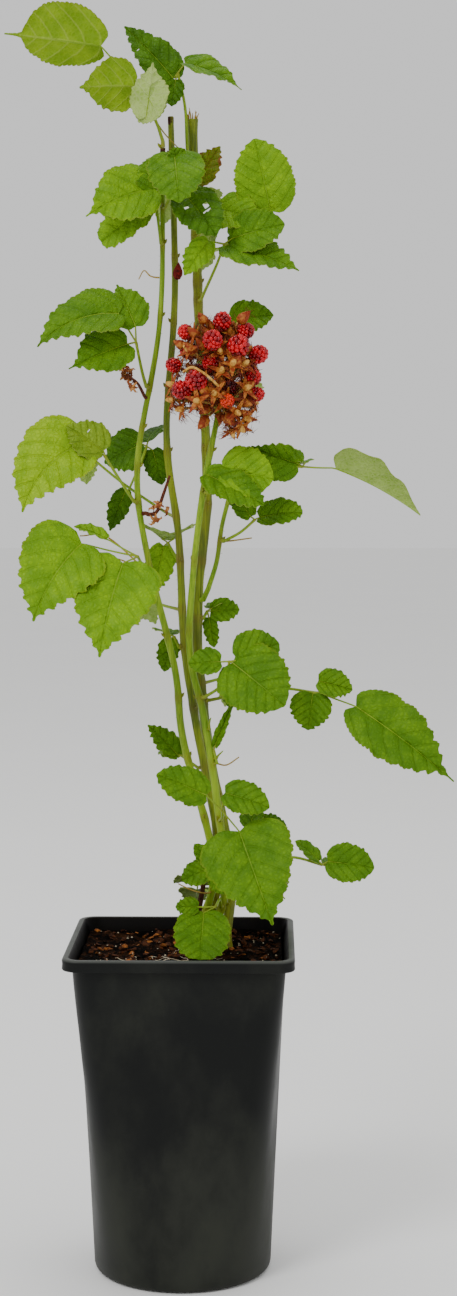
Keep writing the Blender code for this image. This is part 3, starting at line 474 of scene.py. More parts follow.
BRISTLES = CalyxFinish("glandular_bristles", "#521408", "#7c2c14", blend_mm=1.0)
FRUIT_CORES = CalyxFinish("bare_fruit_cores", "#d8aa54", "#b07830", blend_mm=2.0)
CALYX_INSIDE = CalyxFinish("sepals_inside", "#b87c30", "#dcb458")
RIPE_SKIN = BerryFinish()
RIPENING_SKIN = BerryFinish("ripening_berry_skin", "#e0400e", "#c8180e")
OVERRIPE_SKIN = BerryFinish("overripe_berry_skin", "#6a0610", "#38040a")
POT_PLASTIC = PotFinish()
SOILED_PLASTIC = PotFinish("soiled_polypropylene", "#060505", "#1a120c", "#1a120c", gloss=0.05)
PEAT = SoilFinish()
BARK_CHIPS = DryFinish("composted_bark_chips", "#532a0e", "#140a04", grain_mm=1.6, roughness=0.9)
FRESH_CHIPS = DryFinish("fresh_bark_chips", "#a0602a", "#4c2810", grain_mm=1.6, roughness=0.9)
GRIT = DryFinish("pale_grit", "#b9ac94", "#857660", grain_mm=0.8, roughness=0.7)
FIBRES = DryFinish("root_fibres", "#d8cdb6", "#a89878", grain_mm=0.8, roughness=0.6)


# ---------------------------------------------------------------- the plant's plan

@dataclass(frozen=True)
class Cane:
    """One tapering stem through a few knots given in millimetres."""

    name: str
    knots: tuple[tuple[float, float, float], ...]
    foot: float
    tip: float
    on: str = ""


@dataclass(frozen=True)
class Blade:
    """One leaflet: its stalk, the way it points and its size, in degrees and millimetres.

    heading and aim are turned from +X towards +Z in the plane of the front view, lean tips
    the leaflet towards the front, and face turns its upper side from the front (0) through
    the sky (90) to the back (180). bow swings the midrib sideways from base to tip, and skew
    widens one half at the cost of the other.
    """

    stalk: float
    heading: float
    aim: float
    lean: float
    length: float
    width: float
    face: float = 30.0
    fold: float = 14.0
    droop: float = 18.0
    bow: float = 0.0
    skew: float = 0.0


@dataclass(frozen=True)
class Margin:
    """A leaflet's outline: how strongly it is lobed, and its half widths as it goes along."""

    lobes: float
    widths: tuple[tuple[float, float], ...]


class Outline(Enum):
    """The outlines that leaflets have, each as (place along, part of the greatest half width)."""

    POINTED = Margin(1.0, (
        (0.0, 0.03), (0.02, 0.26), (0.05, 0.49), (0.08, 0.64), (0.12, 0.78), (0.18, 0.90), (0.26, 0.98),
        (0.36, 1.0), (0.46, 0.96), (0.56, 0.84), (0.66, 0.66), (0.74, 0.47), (0.80, 0.29), (0.85, 0.15),
        (0.89, 0.075), (0.94, 0.035), (1.0, 0.012)))
    BLUNT = Margin(0.7, (
        (0.0, 0.03), (0.02, 0.26), (0.05, 0.48), (0.1, 0.7), (0.2, 0.92), (0.32, 1.0), (0.46, 1.0),
        (0.6, 0.93), (0.72, 0.8), (0.82, 0.63), (0.9, 0.43), (0.96, 0.22), (1.0, 0.05)))
    ROUND = Margin(0.25, (
        (0.0, 0.05), (0.02, 0.3), (0.05, 0.48), (0.1, 0.65), (0.2, 0.86), (0.3, 0.96), (0.41, 1.0),
        (0.5, 0.975), (0.6, 0.885), (0.7, 0.70), (0.75, 0.55), (0.78, 0.38), (0.81, 0.2), (0.83, 0.08),
        (0.87, 0.045), (1.0, 0.015)))
    SLENDER = Margin(0.6, (
        (0.0, 0.05), (0.03, 0.4), (0.08, 0.7), (0.15, 0.9), (0.25, 1.0), (0.35, 0.98), (0.45, 0.9),
        (0.55, 0.78), (0.65, 0.63), (0.75, 0.47), (0.85, 0.3), (0.93, 0.15), (1.0, 0.02)))
    BROAD = Margin(0.9, (
        (0.0, 0.05), (0.03, 0.35), (0.08, 0.6), (0.15, 0.8), (0.25, 0.93), (0.4, 1.0), (0.55, 1.0),
        (0.7, 0.95), (0.82, 0.85), (0.91, 0.7), (0.96, 0.52), (1.0, 0.28)))
    HEART = Margin(1.0, (
        (0.0, 0.03), (0.02, 0.32), (0.05, 0.6), (0.08, 0.78), (0.12, 0.9), (0.18, 0.98), (0.26, 1.0),
        (0.36, 0.97), (0.46, 0.88), (0.56, 0.76), (0.66, 0.62), (0.74, 0.48), (0.82, 0.32), (0.88, 0.18),
        (0.93, 0.09), (0.97, 0.04), (1.0, 0.012)))


@dataclass(frozen=True)
class Leaf:
    """A compound leaf: where its leaflets meet, and the leaflets."""

    hub: tuple[float, float, float]
    blades: tuple[Blade, ...]
    start: float = 1.0
    via: tuple[tuple[float, float, float], ...] = ()


@dataclass(frozen=True)
class Mass:
    """Leaves on one stem that springs from a cane at a given height."""

    name: str
    cane: str
    height: float
    leaves: tuple[Leaf, ...]
    via: tuple[tuple[float, float, float], ...] = ()
    tone: str = "leaf"
    stem: float = 1.1


CANES = (
    Cane("cane_left", ((8, 14, 185), (18, 8, 235), (1, -2, 308), (-4, -7, 352), (-19, -8, 414),
                       (-25, -4, 468), (-12, -3, 550), (-10, -8, 645)), 2.4, 1.3),
    Cane("cane_fruiting", ((16, 1, 185), (26, -4, 226), (23, -8, 255), (14, -8, 318),
                           (5, -9, 360), (7, -14, 405), (13, -22, 452), (22, -25, 498)), 2.5, 1.6),
    Cane("cane_middle", ((13, 24, 185), (21, 14, 240), (8, 8, 317), (1, 7, 365), (-2, 7, 425),
                         (-9, 8, 485), (-4, 7, 565), (-6, 3, 664)), 2.6, 1.7),
    Cane("cane_right", ((25, 14, 185), (28, 22, 230), (16, 19, 295), (9, 18, 354), (9, 19, 395),
                        (14, 21, 455), (9, 19, 560), (6, 12, 664)), 3.0, 2.6),
    Cane("dead_stump", ((6, 4, 185), (9, 1, 205), (13, -1, 229)), 2.3, 1.3),
    Cane("lateral_right", ((0, 0, 389), (15, 11, 396), (20, 5, 412), (23, 3, 432), (27, 0, 448)),
         1.5, 1.2, "cane_right"),
)


def trifoliate(hub: tuple[float, float, float], heading: float, length: float, face: float,
               lean: float = 0.0, spread: float = 64.0) -> Leaf:
    """Lay out a leaf by the plant's own rule: a long leaflet and two lesser ones at its sides.

    Args:
        hub: where the leaflets meet.
        heading: where the long leaflet points.
        length: its length.
        face: where its upper side looks.
        lean: how far it tips to the front.
        spread: the angle between it and the lesser ones.

    Returns:
        The leaf.
    """
    side = 0.64 * length
    blades = (
        Blade(0.26 * length, heading, heading, lean, length, 0.84 * length, face),
        Blade(0.06 * length, heading + 90, heading + spread, lean * 0.5, side, 0.74 * side, face),
        Blade(0.06 * length, heading - 90, heading - spread, lean * 0.5, side, 0.74 * side, face),
    )
    return Leaf(hub, blades)


# Masses of leaves, from the top down: those that the front view shows, then the back
FRONT = (
    Mass("foliage_top_left", "cane_left", 645, (
        Leaf((-23, -12, 677), (
            Blade(32, 132, 174, 8, 54, 39, 143, 10, 6, 0, -0.16),
            Blade(3, 150, 182, 6, 31, 33, 146, 10),
            Blade(3, 330, 300, 35, 23, 27, 150, 10))),
        Leaf((-19, -14, 660), (
            Blade(1, 80, 82, 12, 30, 21, 150),), 0.5)), ((-14, -10, 660),), "leaf_pale", 1.1),
    Mass("foliage_top_right", "cane_right", 634, (
        Leaf((-2, 6, 689), (
            Blade(3.8, 229, 133, -8, 42, 24, 25, 16),
            Blade(7, 54, 335, 0, 36, 22, 54, 20, 30),
            Blade(4, 250, 262, 12, 16, 12, 20))),), ((3, 9, 650), (2, 7, 670)), "leaf_deep", 1.3),
    Mass("foliage_upper_left", "cane_left", 592, (
        Leaf((-14, -14, 615), (
            Blade(7, 100, 204, 12, 42, 38, 26, 12, 26, 10),
            Blade(4, 224, 215, -10, 35, 21, 26),
            Blade(6, 78, 108, -20, 20, 22, 30))),), ((-12, -12, 600),)),
    Mass("foliage_upper_front", "cane_left", 612, (
        Leaf((0, -26, 630), (
            Blade(9.4, 107, 277, 36, 37, 32, 26, 8, 30),
            Blade(13, 283, 306, 22, 33, 27, 30),
            Blade(3, 90, 110, 10, 10, 14, 50))),), ((-4, -17, 620),), "leaf_deep"),
    Mass("foliage_upper_right", "cane_right", 598, (
        Leaf((19, -8, 613), (
            Blade(32, 354, 103, 5, 41, 34, 18, 8, 10),
            Blade(3, 315, 342, 24, 25, 26, 26))),), ((13, 4, 606),)),
    Mass("foliage_upper_right_low", "cane_right", 562, (
        Leaf((25, -20, 590), (
            Blade(2, 350, 339, 14, 44, 30, 46, 14),
            Blade(5, 38, 14, 8, 31, 27, 25),
            Blade(9, 169, 235, 10, 24, 16, 25))),), ((14, 6, 568), (20, -8, 579))),
    Mass("foliage_mid_left", "cane_left", 511, (
        Leaf((-25, -14, 536), (
            Blade(19, 121, 203, 10, 51, 35, 40, 14, 40, 34),
            Blade(5, 190, 204, 16, 37, 31, 28),
            Blade(9, 92, 115, -28, 31, 23, 35))),), ((-22, -10, 520),)),
    Mass("foliage_mid_right", "cane_right", 538, (
        Leaf((27, 9, 549), (
            Blade(2, 26, 7, 0, 24, 22, 24),
            Blade(2, 350, 340, -60, 16, 13, 60))),), ((18, 13, 541),), "leaf_deep"),
    Mass("foliage_left_high", "cane_left", 446, (
        Leaf((-42, -28, 472), (
            Blade(14, 148, 230, 20, 54, 42, 15, 9, 20, 48, 0.12),
            Blade(3, 100, 146, 0, 25, 24, 32))),), ((-32, -17, 455),)),
    Mass("foliage_left_inner", "cane_left", 466, (
        Leaf((-21, 18, 478), (
            Blade(3, 150, 206, -14, 26, 26, 20),
            Blade(4, 330, 285, 0, 21, 15, 20),
            Blade(3, 80, 60, -60, 22, 17, 120))),
        Leaf((-31, 12, 453), (
            Blade(2, 200, 248, 0, 25, 13, 20),), 0.5)), ((-24, 8, 468),), "leaf_deep"),
    Mass("foliage_left_low", "cane_left", 405, (
        Leaf((-23, -38, 416), (
            Blade(32, 167, 239, 20, 53, 48, 15, 9, 22, 26, 0.08),
            Blade(9, 204, 257, 22, 57, 50, 14, 9, 24, 8),
            Blade(20, 150, 160, -10, 20, 10, 60, 30))),), ((-20, -20, 408),)),
    Mass("foliage_centre", "cane_middle", 412, (
        Leaf((-9, 22, 422), (
            Blade(3, 217, 258, -6, 30, 18, 20),
            Blade(4, 140, 150, -58, 26, 19, 120),
            Blade(4, 40, 30, -58, 24, 18, 120))),), ((-4, 15, 414),), "leaf_pale"),
    Mass("foliage_right_inner", "cane_fruiting", 452, (
        Leaf((19, -27, 461), (
            Blade(4, 170, 332, 16, 38, 22, 32),
            Blade(6, 30, 350, 4, 29, 31, 20))),), (), "leaf"),
    Mass("foliage_right_curled", "lateral_right", 424, (
        Leaf((42, -12, 436), (
            Blade(3, 30, 6, 8, 25, 21, 44, 20, 20),
            Blade(3, 140, 128, 0, 20, 14, 35))),), ((34, -7, 429),)),
    Mass("foliage_right_reach", "lateral_right", 448, (
        Leaf((69, -12, 466), (
            Blade(19, 358, 331, 5, 55, 44, 95, 56, 16),
            Blade(3, 146, 160, 12, 29, 27, -28, 36),
            Blade(3, 60, 200, -62, 24, 18, 80))),), ((44, -6, 460), (58, -10, 466)), "leaf_pale"),
    Mass("foliage_right_low", "cane_fruiting", 334, (
        Leaf((28, -34, 357), (
            Blade(2, 340, 322, 22, 40, 40, 18, 10),
            Blade(5, 10, 22, -6, 25, 27, 18),
            Blade(5, 180, 184, 0, 18, 17, 30),
            Blade(4, 252, 276, -12, 24, 11, 30))),), ((22, -18, 341), (27, -26, 349))),
    Mass("foliage_right_long", "cane_right", 330, (
        Leaf((79, -20, 338), (
            Blade(22, 340, 323, 8, 70, 38, 28, 14, 24),
            Blade(7, 96, 345, 0, 20, 18, 25, 24),
            Blade(4, 185, 262, 12, 21, 24, 22))),), ((26, 10, 333), (54, -12, 340))),
    Mass("foliage_low_front", "cane_fruiting", 264, (
        Leaf((24, -54, 276), (
            Blade(15.5, 310, 291, 22, 56, 52, 10, 9, 18),
            Blade(12, 135, 157, 5, 30, 22, 30),
            Blade(10, 78, 342, 5, 26, 20, 30))),), ((24, -24, 268), (24, -40, 275))),
    Mass("foliage_low_right", "cane_right", 226, (
        Leaf((81, -4, 237), (
            Blade(4, 30, 352, 0, 27, 24, 28),
            Blade(3, 127, 140, 0, 18, 12, 62),
            Blade(3, 350, 350, -62, 18, 14, 60))),), ((42, 12, 232), (62, 4, 240))),
    Mass("foliage_low_back", "cane_right", 246, (
        Leaf((39, 24, 252), (
            Blade(3, 20, 8, 0, 19, 17, 30),
            Blade(3, 90, 70, -40, 20, 16, 100),
            Blade(3, 300, 300, -30, 18, 14, 60))),), ((32, 24, 248),), "leaf_deep"),
    Mass("foliage_foot", "cane_fruiting", 213, (
        Leaf((20, -24, 216), (
            Blade(7.5, 205, 267, 48, 33, 32, 12, 8, 10),
            Blade(10, 180, 180, 0, 13, 11, 25))),), ((22, -12, 218),), "leaf_pale"),
    Mass("foliage_foot_left", "cane_left", 228, (
        Leaf((18, -20, 238), (
            Blade(2, 200, 203, 5, 17, 15, 25),
            Blade(3, 310, 292, 10, 14, 13, 25),
            Blade(2, 120, 128, 0, 15, 10, 25))),), ((18, -4, 233),), "leaf"),
    Mass("foliage_stem_left", "cane_middle", 292, (
        Leaf((-1, 15, 298), (
            Blade(2, 170, 135, 0, 25, 15, 40),
            Blade(2, 200, 170, -60, 20, 15, 60))),), (), "leaf"),
    Mass("foliage_stem_middle", "cane_middle", 362, (
        Leaf((-5, 12, 368), (
            Blade(2, 214, 258, 0, 20, 13, 20),
            Blade(2, 150, 170, -62, 20, 15, 100))),), (), "leaf"),
    Mass("foliage_stem_right", "cane_right", 378, (
        Leaf((14, 25, 382), (
            Blade(2, 0, 3, 0, 17, 15, 20),
            Blade(4, 282, 280, -5, 18, 9, 20),
            Blade(3, 40, 20, -62, 18, 14, 110))),), (), "leaf"),
    Mass("young_shoot", "cane_fruiting", 296, (
        Leaf((18.5, -9, 304), (
            Blade(3, 72, 68, 0, 27, 7, 20, 40),)),), (), "leaf", 0.9),
)
BACK = (
    Mass("foliage_back_top", "cane_middle", 622, (
        trifoliate((-9, 32, 629), 194, 34, 130, -52),), ((-7, 18, 625),)),
    Mass("foliage_upper_back", "cane_right", 612, (
        Leaf((6, 22, 626), (
            Blade(4, 60, 58, -10, 26, 17, 25),
            Blade(3, 150, 100, -62, 26, 20, 110),
            Blade(3, 330, 330, -62, 26, 20, 110))),), (), "leaf_deep"),
    Mass("foliage_back_upper", "cane_right", 572, (
        Leaf((14, 36, 593), (
            Blade(8, 8, 8, -62, 32, 27, 130),
            Blade(2, 98, 72, -31, 20, 15, 130),
            Blade(2, 278, 236, -50, 17, 12, 130))),), ((10, 27, 579),), "leaf_deep"),
    Mass("foliage_back_high", "cane_right", 510, (
        trifoliate((20, 44, 518), 322, 36, 135, -58),), ((18, 32, 512),)),
    Mass("foliage_back_left", "cane_middle", 438, (
        trifoliate((-62, 40, 478), 212, 36, 135, -58),), ((-14, 28, 442), (-38, 40, 458)), "leaf_deep"),
    Mass("foliage_back_middle", "cane_middle", 384, (
        trifoliate((-32, 44, 392), 240, 38, 135, -50),), ((-14, 26, 386),)),
    Mass("foliage_back_right", "cane_right", 340, (
        trifoliate((33, 42, 344), 312, 36, 140, -50),), ((22, 30, 342),), "leaf_deep"),
    Mass("foliage_back_low", "cane_right", 240, (
        trifoliate((35, 46, 233), 310, 38, 140, -40),), ((30, 34, 238),)),
    Mass("foliage_back_foot", "cane_middle", 214, (
        trifoliate((8, 46, 220), 262, 26, 120, -58),), ((11, 34, 216),), "leaf_deep"),
)

class Stage(Enum):
    """What a fruit stalk carries."""

    BERRY = "berry"
    SPENT = "spent calyx"
    CLOSED = "closed calyx"


class Skin(IntEnum):
    """How ripe a berry is, as the index of its material."""

    RIPE = 0
    RIPENING = 1
    OVERRIPE = 2


# Fruit: berries as (x, y, z, radius), each on a stalk from the middle of the cluster
CLUSTER_TOP = (22, -28, 545)
BERRIES = (
    (24, -34, 546, 5.4), (4, -36, 540, 4.6), (19, -46, 535, 5.8), (33, -42, 532, 6.4), (37, -29, 541, 4.8),
    (44, -32, 528, 5.4), (-3, -34, 522, 4.3), (10, -47, 513, 6.4), (2, -43, 508, 5.5), (18, -38, 523, 5.2),
    (41, -34, 515, 4.7), (43, -32, 506, 4.4), (27, -43, 502, 4.2), (5, -28, 530, 4.6), (28, -36, 510, 4.2),
    (33, -14, 541, 5.2), (20, -13, 533, 5.4), (38, -13, 522, 5.2), (24, -10, 518, 4.8), (10, -16, 519, 5.0),
)
UNEVEN = {12: Skin.RIPENING, 14: Skin.OVERRIPE}
# Hairy calyces that are still closed
CLOSED = ((9, -40, 529), (14, -37, 531), (3, -36, 532), (15, -34, 545), (11, -36, 537), (30, -40, 521),
          (35, -36, 501), (16, -42, 506), (24, -38, 505), (33, -30, 546))
# Calyces that have lost their berry or haven't opened it yet
SPENT = ((24, -43, 518), (23, -42, 528), (11, -48, 502), (20, -45, 506), (37, -39, 509), (32, -41, 496),
         (37, -37, 493), (34, -36, 488), (29, -34, 486), (-3, -36, 511), (-3, -34, 503), (2, -36, 498),
         (6, -42, 530), (30, -44, 522), (36, -40, 522), (40, -19, 502), (12, -18, 506), (26, -14, 503))
# A pale spent stalk that bows out to the front
BOWED_STALK = ((3, -44, 518), (8, -50, 520), (14, -51, 517), (19, -50, 513), (22, -46, 510), (23, -40, 509))

# Dead twigs that stay on the canes
DEAD = (
    Mass("dead_twig", "cane_left", 505, (), ((-25, -20, 514), (-33, -21, 517)), "dead", 0.9),
    Mass("dead_flower_stub", "cane_left", 439, (), ((-17, -10, 439), (-13.5, -11, 441), (-10, -11, 450),
                                                    (-6.2, -12, 461)), "dead", 1.2),
)
# Small dry or reddish stalks and buds on the canes: the height, the further points, the radii at
# the root and the tip (below zero: swollen in the middle), and the index of the cane's finish
CANE_EXTRAS: dict[str, tuple[tuple[float, tuple[tuple[float, float, float], ...], float, float, int], ...]] = {
    "cane_left": ((573, ((-17.6, -4, 574), (-21, -4, 577), (-24, -5, 572)), 0.5, 0.3, 3),
                  (219, ((13, -3, 220), (6, -5, 222), (-2, -6, 226)), 0.5, 0.35, 3)),
    "cane_fruiting": ((316, ((16, -11, 319), (17, -12, 323)), 1.0, 0.3, 0),
                      (299, ((21, -11, 301), (24, -12, 304)), 0.9, 0.3, 0)),
    "cane_middle": ((327, ((9, 2, 329), (10, 0, 333)), 0.9, 0.3, 0),
                    (574, ((-2.4, 2, 574), (-2, 1, 577), (-1.6, 0, 582)), -2.6, -2.6, 4)),
}
# The same on the leaves' stems, each from a part of the way along, and dry (1) or living (0)
STEM_EXTRAS: dict[str, tuple[tuple[float, tuple[tuple[float, float, float], ...], float, int], ...]] = {
    "foliage_top_left": ((0.42, ((-9, -7, 653), (-1.7, -2, 646)), 0.45, 0),),
    "foliage_left_low": ((0.35, ((-41.8, -15, 426.3), (-56.7, -20, 427)), 0.55, 1),
                         (0.3, ((-33.5, -12, 413), (-43.6, -14, 415)), 0.5, 1)),
    "foliage_right_curled": ((0.1, ((28, 0, 423.7), (40.3, 0, 425.4)), 0.55, 1),),
    "young_shoot": ((0.3, ((26, -5, 295), (33, -4, 299.5)), 0.5, 1),),
}
# Outlines, in the order that a mass lists its leaflets; the last one goes on for the rest
OUTLINES: dict[str, tuple[Outline, ...]] = {
    "foliage_top_left": (Outline.ROUND, Outline.POINTED),
    "foliage_top_right": (Outline.SLENDER, Outline.POINTED),
    "foliage_upper_front": (Outline.BLUNT,),
    "foliage_upper_left": (Outline.POINTED, Outline.BROAD, Outline.POINTED),
    "foliage_upper_right": (Outline.BLUNT, Outline.BLUNT),
    "foliage_upper_right_low": (Outline.HEART, Outline.BLUNT, Outline.POINTED),
    "foliage_mid_left": (Outline.HEART, Outline.POINTED),
    "foliage_mid_right": (Outline.HEART, Outline.POINTED),
    "foliage_left_high": (Outline.HEART, Outline.POINTED),
    "foliage_left_low": (Outline.HEART, Outline.HEART, Outline.POINTED),
    "foliage_right_inner": (Outline.BLUNT,),
    "foliage_right_curled": (Outline.BROAD,),
    "foliage_right_reach": (Outline.HEART, Outline.POINTED),
    "foliage_right_low": (Outline.BLUNT,),
    "foliage_low_front": (Outline.HEART, Outline.BLUNT),
    "foliage_low_right": (Outline.BLUNT,),
    "foliage_foot": (Outline.BROAD,),
    "foliage_foot_left": (Outline.BLUNT,),
    "foliage_stem_right": (Outline.HEART, Outline.BLUNT),
    "young_shoot": (Outline.SLENDER,),
}
# Two pale roots that curl up out of the soil: across, deep and up
ROOT_CURLS = (((-17, -44, 0.4), (-14, -46, 2.6), (-11, -44, 2.0), (-12, -41, 0.4)),
              ((-12, -30, 0.4), (-6, -31, 1.6), (0, -29, 0.6), (5, -31, 1.2)))
# The tones of leaflets that differ from their mass, in the order that the mass lists them
LEAFLET_TONES: dict[str, tuple[Tone, ...]] = {
    "foliage_top_left": (Tone.BACKLIT, Tone.BACKLIT, Tone.PALE, Tone.PALE),
    "foliage_top_right": (Tone.DEEP, Tone.LEAF, Tone.DEEP),
    "foliage_upper_left": (Tone.FRESH, Tone.FRESH, Tone.LEAF),
    "foliage_upper_front": (Tone.LEAF, Tone.DEEP, Tone.LEAF),
    "foliage_upper_right": (Tone.FRESH, Tone.FRESH),
    "foliage_upper_right_low": (Tone.LEAF, Tone.LEAF, Tone.FRESH),
    "foliage_upper_back": (Tone.WORN, Tone.DEEP, Tone.DEEP),
    "foliage_mid_left": (Tone.LEAF, Tone.LEAF, Tone.LEAF),
    "foliage_mid_right": (Tone.LEAF, Tone.LEAF),
    "foliage_left_high": (Tone.BRIGHT, Tone.PALE),
    "foliage_left_low": (Tone.FRESH, Tone.FRESH, Tone.FRESH),
    "foliage_centre": (Tone.FRESH,),
    "foliage_right_reach": (Tone.LEAF, Tone.LEAF, Tone.LEAF),
    "foliage_right_low": (Tone.LEAF, Tone.LEAF, Tone.LEAF, Tone.DEEP),
    "foliage_right_long": (Tone.LEAF, Tone.LEAF, Tone.LEAF),
    "foliage_foot": (Tone.LEAF, Tone.LEAF),
    "foliage_right_inner": (Tone.LEAF, Tone.FRESH),
    "foliage_back_middle": (Tone.FRESH, Tone.FRESH, Tone.LEAF),
}
# Holes and bites of insects: the leaflet's number, its place along and across, and a radius
EATEN: dict[str, tuple[tuple[int, float, float, float], ...]] = {
    "foliage_upper_front": ((1, 0.30, 0.42, 1.7), (1, 0.44, -0.45, 2.0), (1, 0.52, -0.30, 1.6),
                            (1, 0.62, 0.35, 1.2)),
    "foliage_top_right": ((1, 0.45, 0.95, 2.6), (1, 0.72, 0.9, 2.0), (0, 0.6, -0.5, 1.1)),
    "foliage_left_high": ((1, 0.55, 0.4, 1.1),),
}


# ---------------------------------------------------------------- shapes in common

@lru_cache(maxsize=None)
def surface(finish: Any) -> bpy.types.Material:
    """Return a finish's material, made once."""
    return finish.material()


def smooth_path(knots: Iterable[Iterable[float]], step: float) -> list[Vector]:
    """Walk a Catmull-Rom curve through some knots.

    Args:
        knots: the points that the curve passes.
        step: the distance between the points that are returned.

    Returns:
        Points about a step apart, with both end knots.
    """
    pts = [Vector(k) for k in knots]
    pts = [2 * pts[0] - pts[1]] + pts + [2 * pts[-1] - pts[-2]]
    path = []
    for i in range(1, len(pts) - 2):
        a, b, c, d = pts[i - 1:i + 3]
        count = max(1, round((c - b).length / step))
        for j in range(count):
            t = j / count
            path.append(0.5 * (2 * b + (c - a) * t + (2 * a - 5 * b + 4 * c - d) * t * t
                               + (3 * b - a - 3 * c + d) * t ** 3))
    path.append(pts[-2])
    return path


def limb_at(limb: Limb, height: float) -> tuple[Vector, float, Vector]:
    """Find a limb's centre, radius and direction where it passes a height.

    Args:
        limb: the limb's points and radii.
        height: the height in metres.

    Returns:
        The centre, the radius and the direction.
    """
    path, radii = limb
    for a, b, ra, rb in zip(path, path[1:], radii, radii[1:]):
        if (a.z - height) * (b.z - height) <= 0 and a.z != b.z:
            t = (height - a.z) / (b.z - a.z)
            return a.lerp(b, t), ra + (rb - ra) * t, (b - a).normalized()
    return path[-1].copy(), radii[-1], (path[-1] - path[-2]).normalized()


def root_on(limb: Limb, height: float, towards: Vector) -> list[Vector]:
    """Find where a stem leaves a limb, just clear of it.

    Args:
        limb: the limb that carries the stem.
        height: where the stem springs from it.
        towards: the next point of the stem.

    Returns:
        The stem's first two points.
    """
    path = limb[0]
    if height >= path[-1].z - 0.0005:
        way = (path[-1] - path[-2]).normalized()
        first = path[-1] + way * (GAP * 1.5)
        return [first, first + way * 0.003]
    centre, thick, lean = limb_at(limb, height)
    way = Vector((towards.x - centre.x, towards.y - centre.y, 0.0))
    if way.length < 1e-6:
        way = Vector((0.0, -1.0, 0.0))
    way.normalize()
    way = (way - lean * way.dot(lean)).normalized()
    first = centre + way * (thick + GAP * 0.2)
    return [first, first + way * 0.002]


def baked(obj: bpy.types.Object) -> bpy.types.Mesh:
    """Apply an object's modifiers to a fresh mesh, and remove the object.

    Args:
        obj: the object.

    Returns:
        The mesh.
    """
    bpy.context.view_layer.update()
    graph = bpy.context.evaluated_depsgraph_get()
    mesh = bpy.data.meshes.new_from_object(obj.evaluated_get(graph))
    bpy.data.objects.remove(obj)
    return mesh


def add_piece(name: str, shape: bmesh.types.BMesh | bpy.types.Mesh, finishes: Sequence[Any],
              nodes: Sequence[str], sharp: float = 45.0) -> bpy.types.Object:
    """Finish a piece: its materials, its shading, and what it stands for.

    Args:
        name: the piece's name.
        shape: the bmesh or mesh, already in its place.
        finishes: one finish for each material index.
        nodes: the nodes that the piece replaces.
        sharp: the angle in degrees past which an edge stays sharp.

    Returns:
        The piece.
    """
    if isinstance(shape, bmesh.types.BMesh):
        mesh = bpy.data.meshes.new(name)
        shape.to_mesh(mesh)
        shape.free()
    else:
        mesh = shape
        mesh.name = name
    for finish in finishes[len(mesh.materials):]:
        mesh.materials.append(surface(finish))
    mesh.shade_smooth()
    mesh.set_sharp_from_angle(angle=math.radians(sharp))
    obj = bpy.data.objects.new(name, mesh)
    bpy.context.scene.collection.objects.link(obj)
    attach(obj, "root")
    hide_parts(*nodes)
    mesh.calc_loop_triangles()
    LOG.info("%s: %d triangles", name, len(mesh.loop_triangles))
    return obj


class Limbs:
    """A mesh of round limbs, each a circle that is extruded along its path and capped."""

    def __init__(self) -> None:
        """Start with an empty mesh."""
        self.bm = bmesh.new()
        self.flush = self.bm.verts.layers.float.new("flush")

    def add(self, path: Sequence[Vector], radii: Sequence[float], sides: int = 6, slot: int = 0,
            flush: Sequence[float] | None = None, relief: float = 0.0) -> list[Any]:
        """Extrude one limb.

        Args:
            path: the points of its middle line.
            radii: its radius at each point.
            sides: how many sides it has.
            slot: the index of its material.
            flush: how red it is at each point, from 0 to 1.
            relief: how far its ridges stand out, as a part of its radius.

        Returns:
            The last face, which caps it.
        """
        bm = self.bm
        ring = list(bmesh.ops.create_circle(bm, cap_ends=True, segments=sides, radius=1.0)["verts"])
        cap = ring[0].link_faces[0]
        cap.material_index = slot
        hold = (path[1] - path[0]).orthogonal().normalized()
        for i, place in enumerate(path):
            way = (path[min(i + 1, len(path) - 1)] - path[max(i - 1, 0)]).normalized()
            hold = (hold - way * hold.dot(way)).normalized()
            over = way.cross(hold)
            if i:
                edges = [bm.edges.get((a, b)) for a, b in zip(ring, ring[1:] + ring[:1])]
                made = bmesh.ops.extrude_edge_only(bm, edges=edges)["geom"]
                fresh = {v for v in made if isinstance(v, bmesh.types.BMVert)}
                ring = [next(e.other_vert(v) for e in v.link_edges if e.other_vert(v) in fresh)
                        for v in ring]
                for face in made:
                    if isinstance(face, bmesh.types.BMFace):
                        face.material_index = slot
            for k, vert in enumerate(ring):
                turn = math.tau * k / sides
                out = hold * math.cos(turn) + over * math.sin(turn)
                swell = 1.0
                if relief:
                    swell += relief * noise.noise(Vector((out.x * 2.6, out.y * 2.6, place.z * 70.0)))
                vert.co = place + out * radii[i] * swell
                vert[self.flush] = flush[i] if flush else 0.0
        edges = [bm.edges.get((a, b)) for a, b in zip(ring, ring[1:] + ring[:1])]
        made = bmesh.ops.contextual_create(bm, geom=edges)["faces"]
        for face in made:
            face.material_index = slot
        return made

    def bristle(self, root: Vector, way: Vector, length: float, radius: float, slot: int = 0) -> None:
        """Stand one stiff hair on a surface.

        Args:
            root: where it stands.
            way: where it points.
            length: its length in metres.
            radius: its radius at the root.
            slot: the index of its material.
        """
        place = Matrix.Translation(root + way * length * 0.48) @ way.to_track_quat("Z", "Y").to_matrix().to_4x4()
        made = bmesh.ops.create_cone(self.bm, cap_ends=True, segments=3, radius1=radius,
                                     radius2=radius * 0.2, depth=length, matrix=place)["verts"]
        for face in {f for v in made for f in v.link_faces}:
            face.material_index = slot

    def done(self) -> bmesh.types.BMesh:
        """Turn every face outwards and return the mesh."""
        bmesh.ops.recalc_face_normals(self.bm, faces=self.bm.faces)
        return self.bm


# ---------------------------------------------------------------- canes

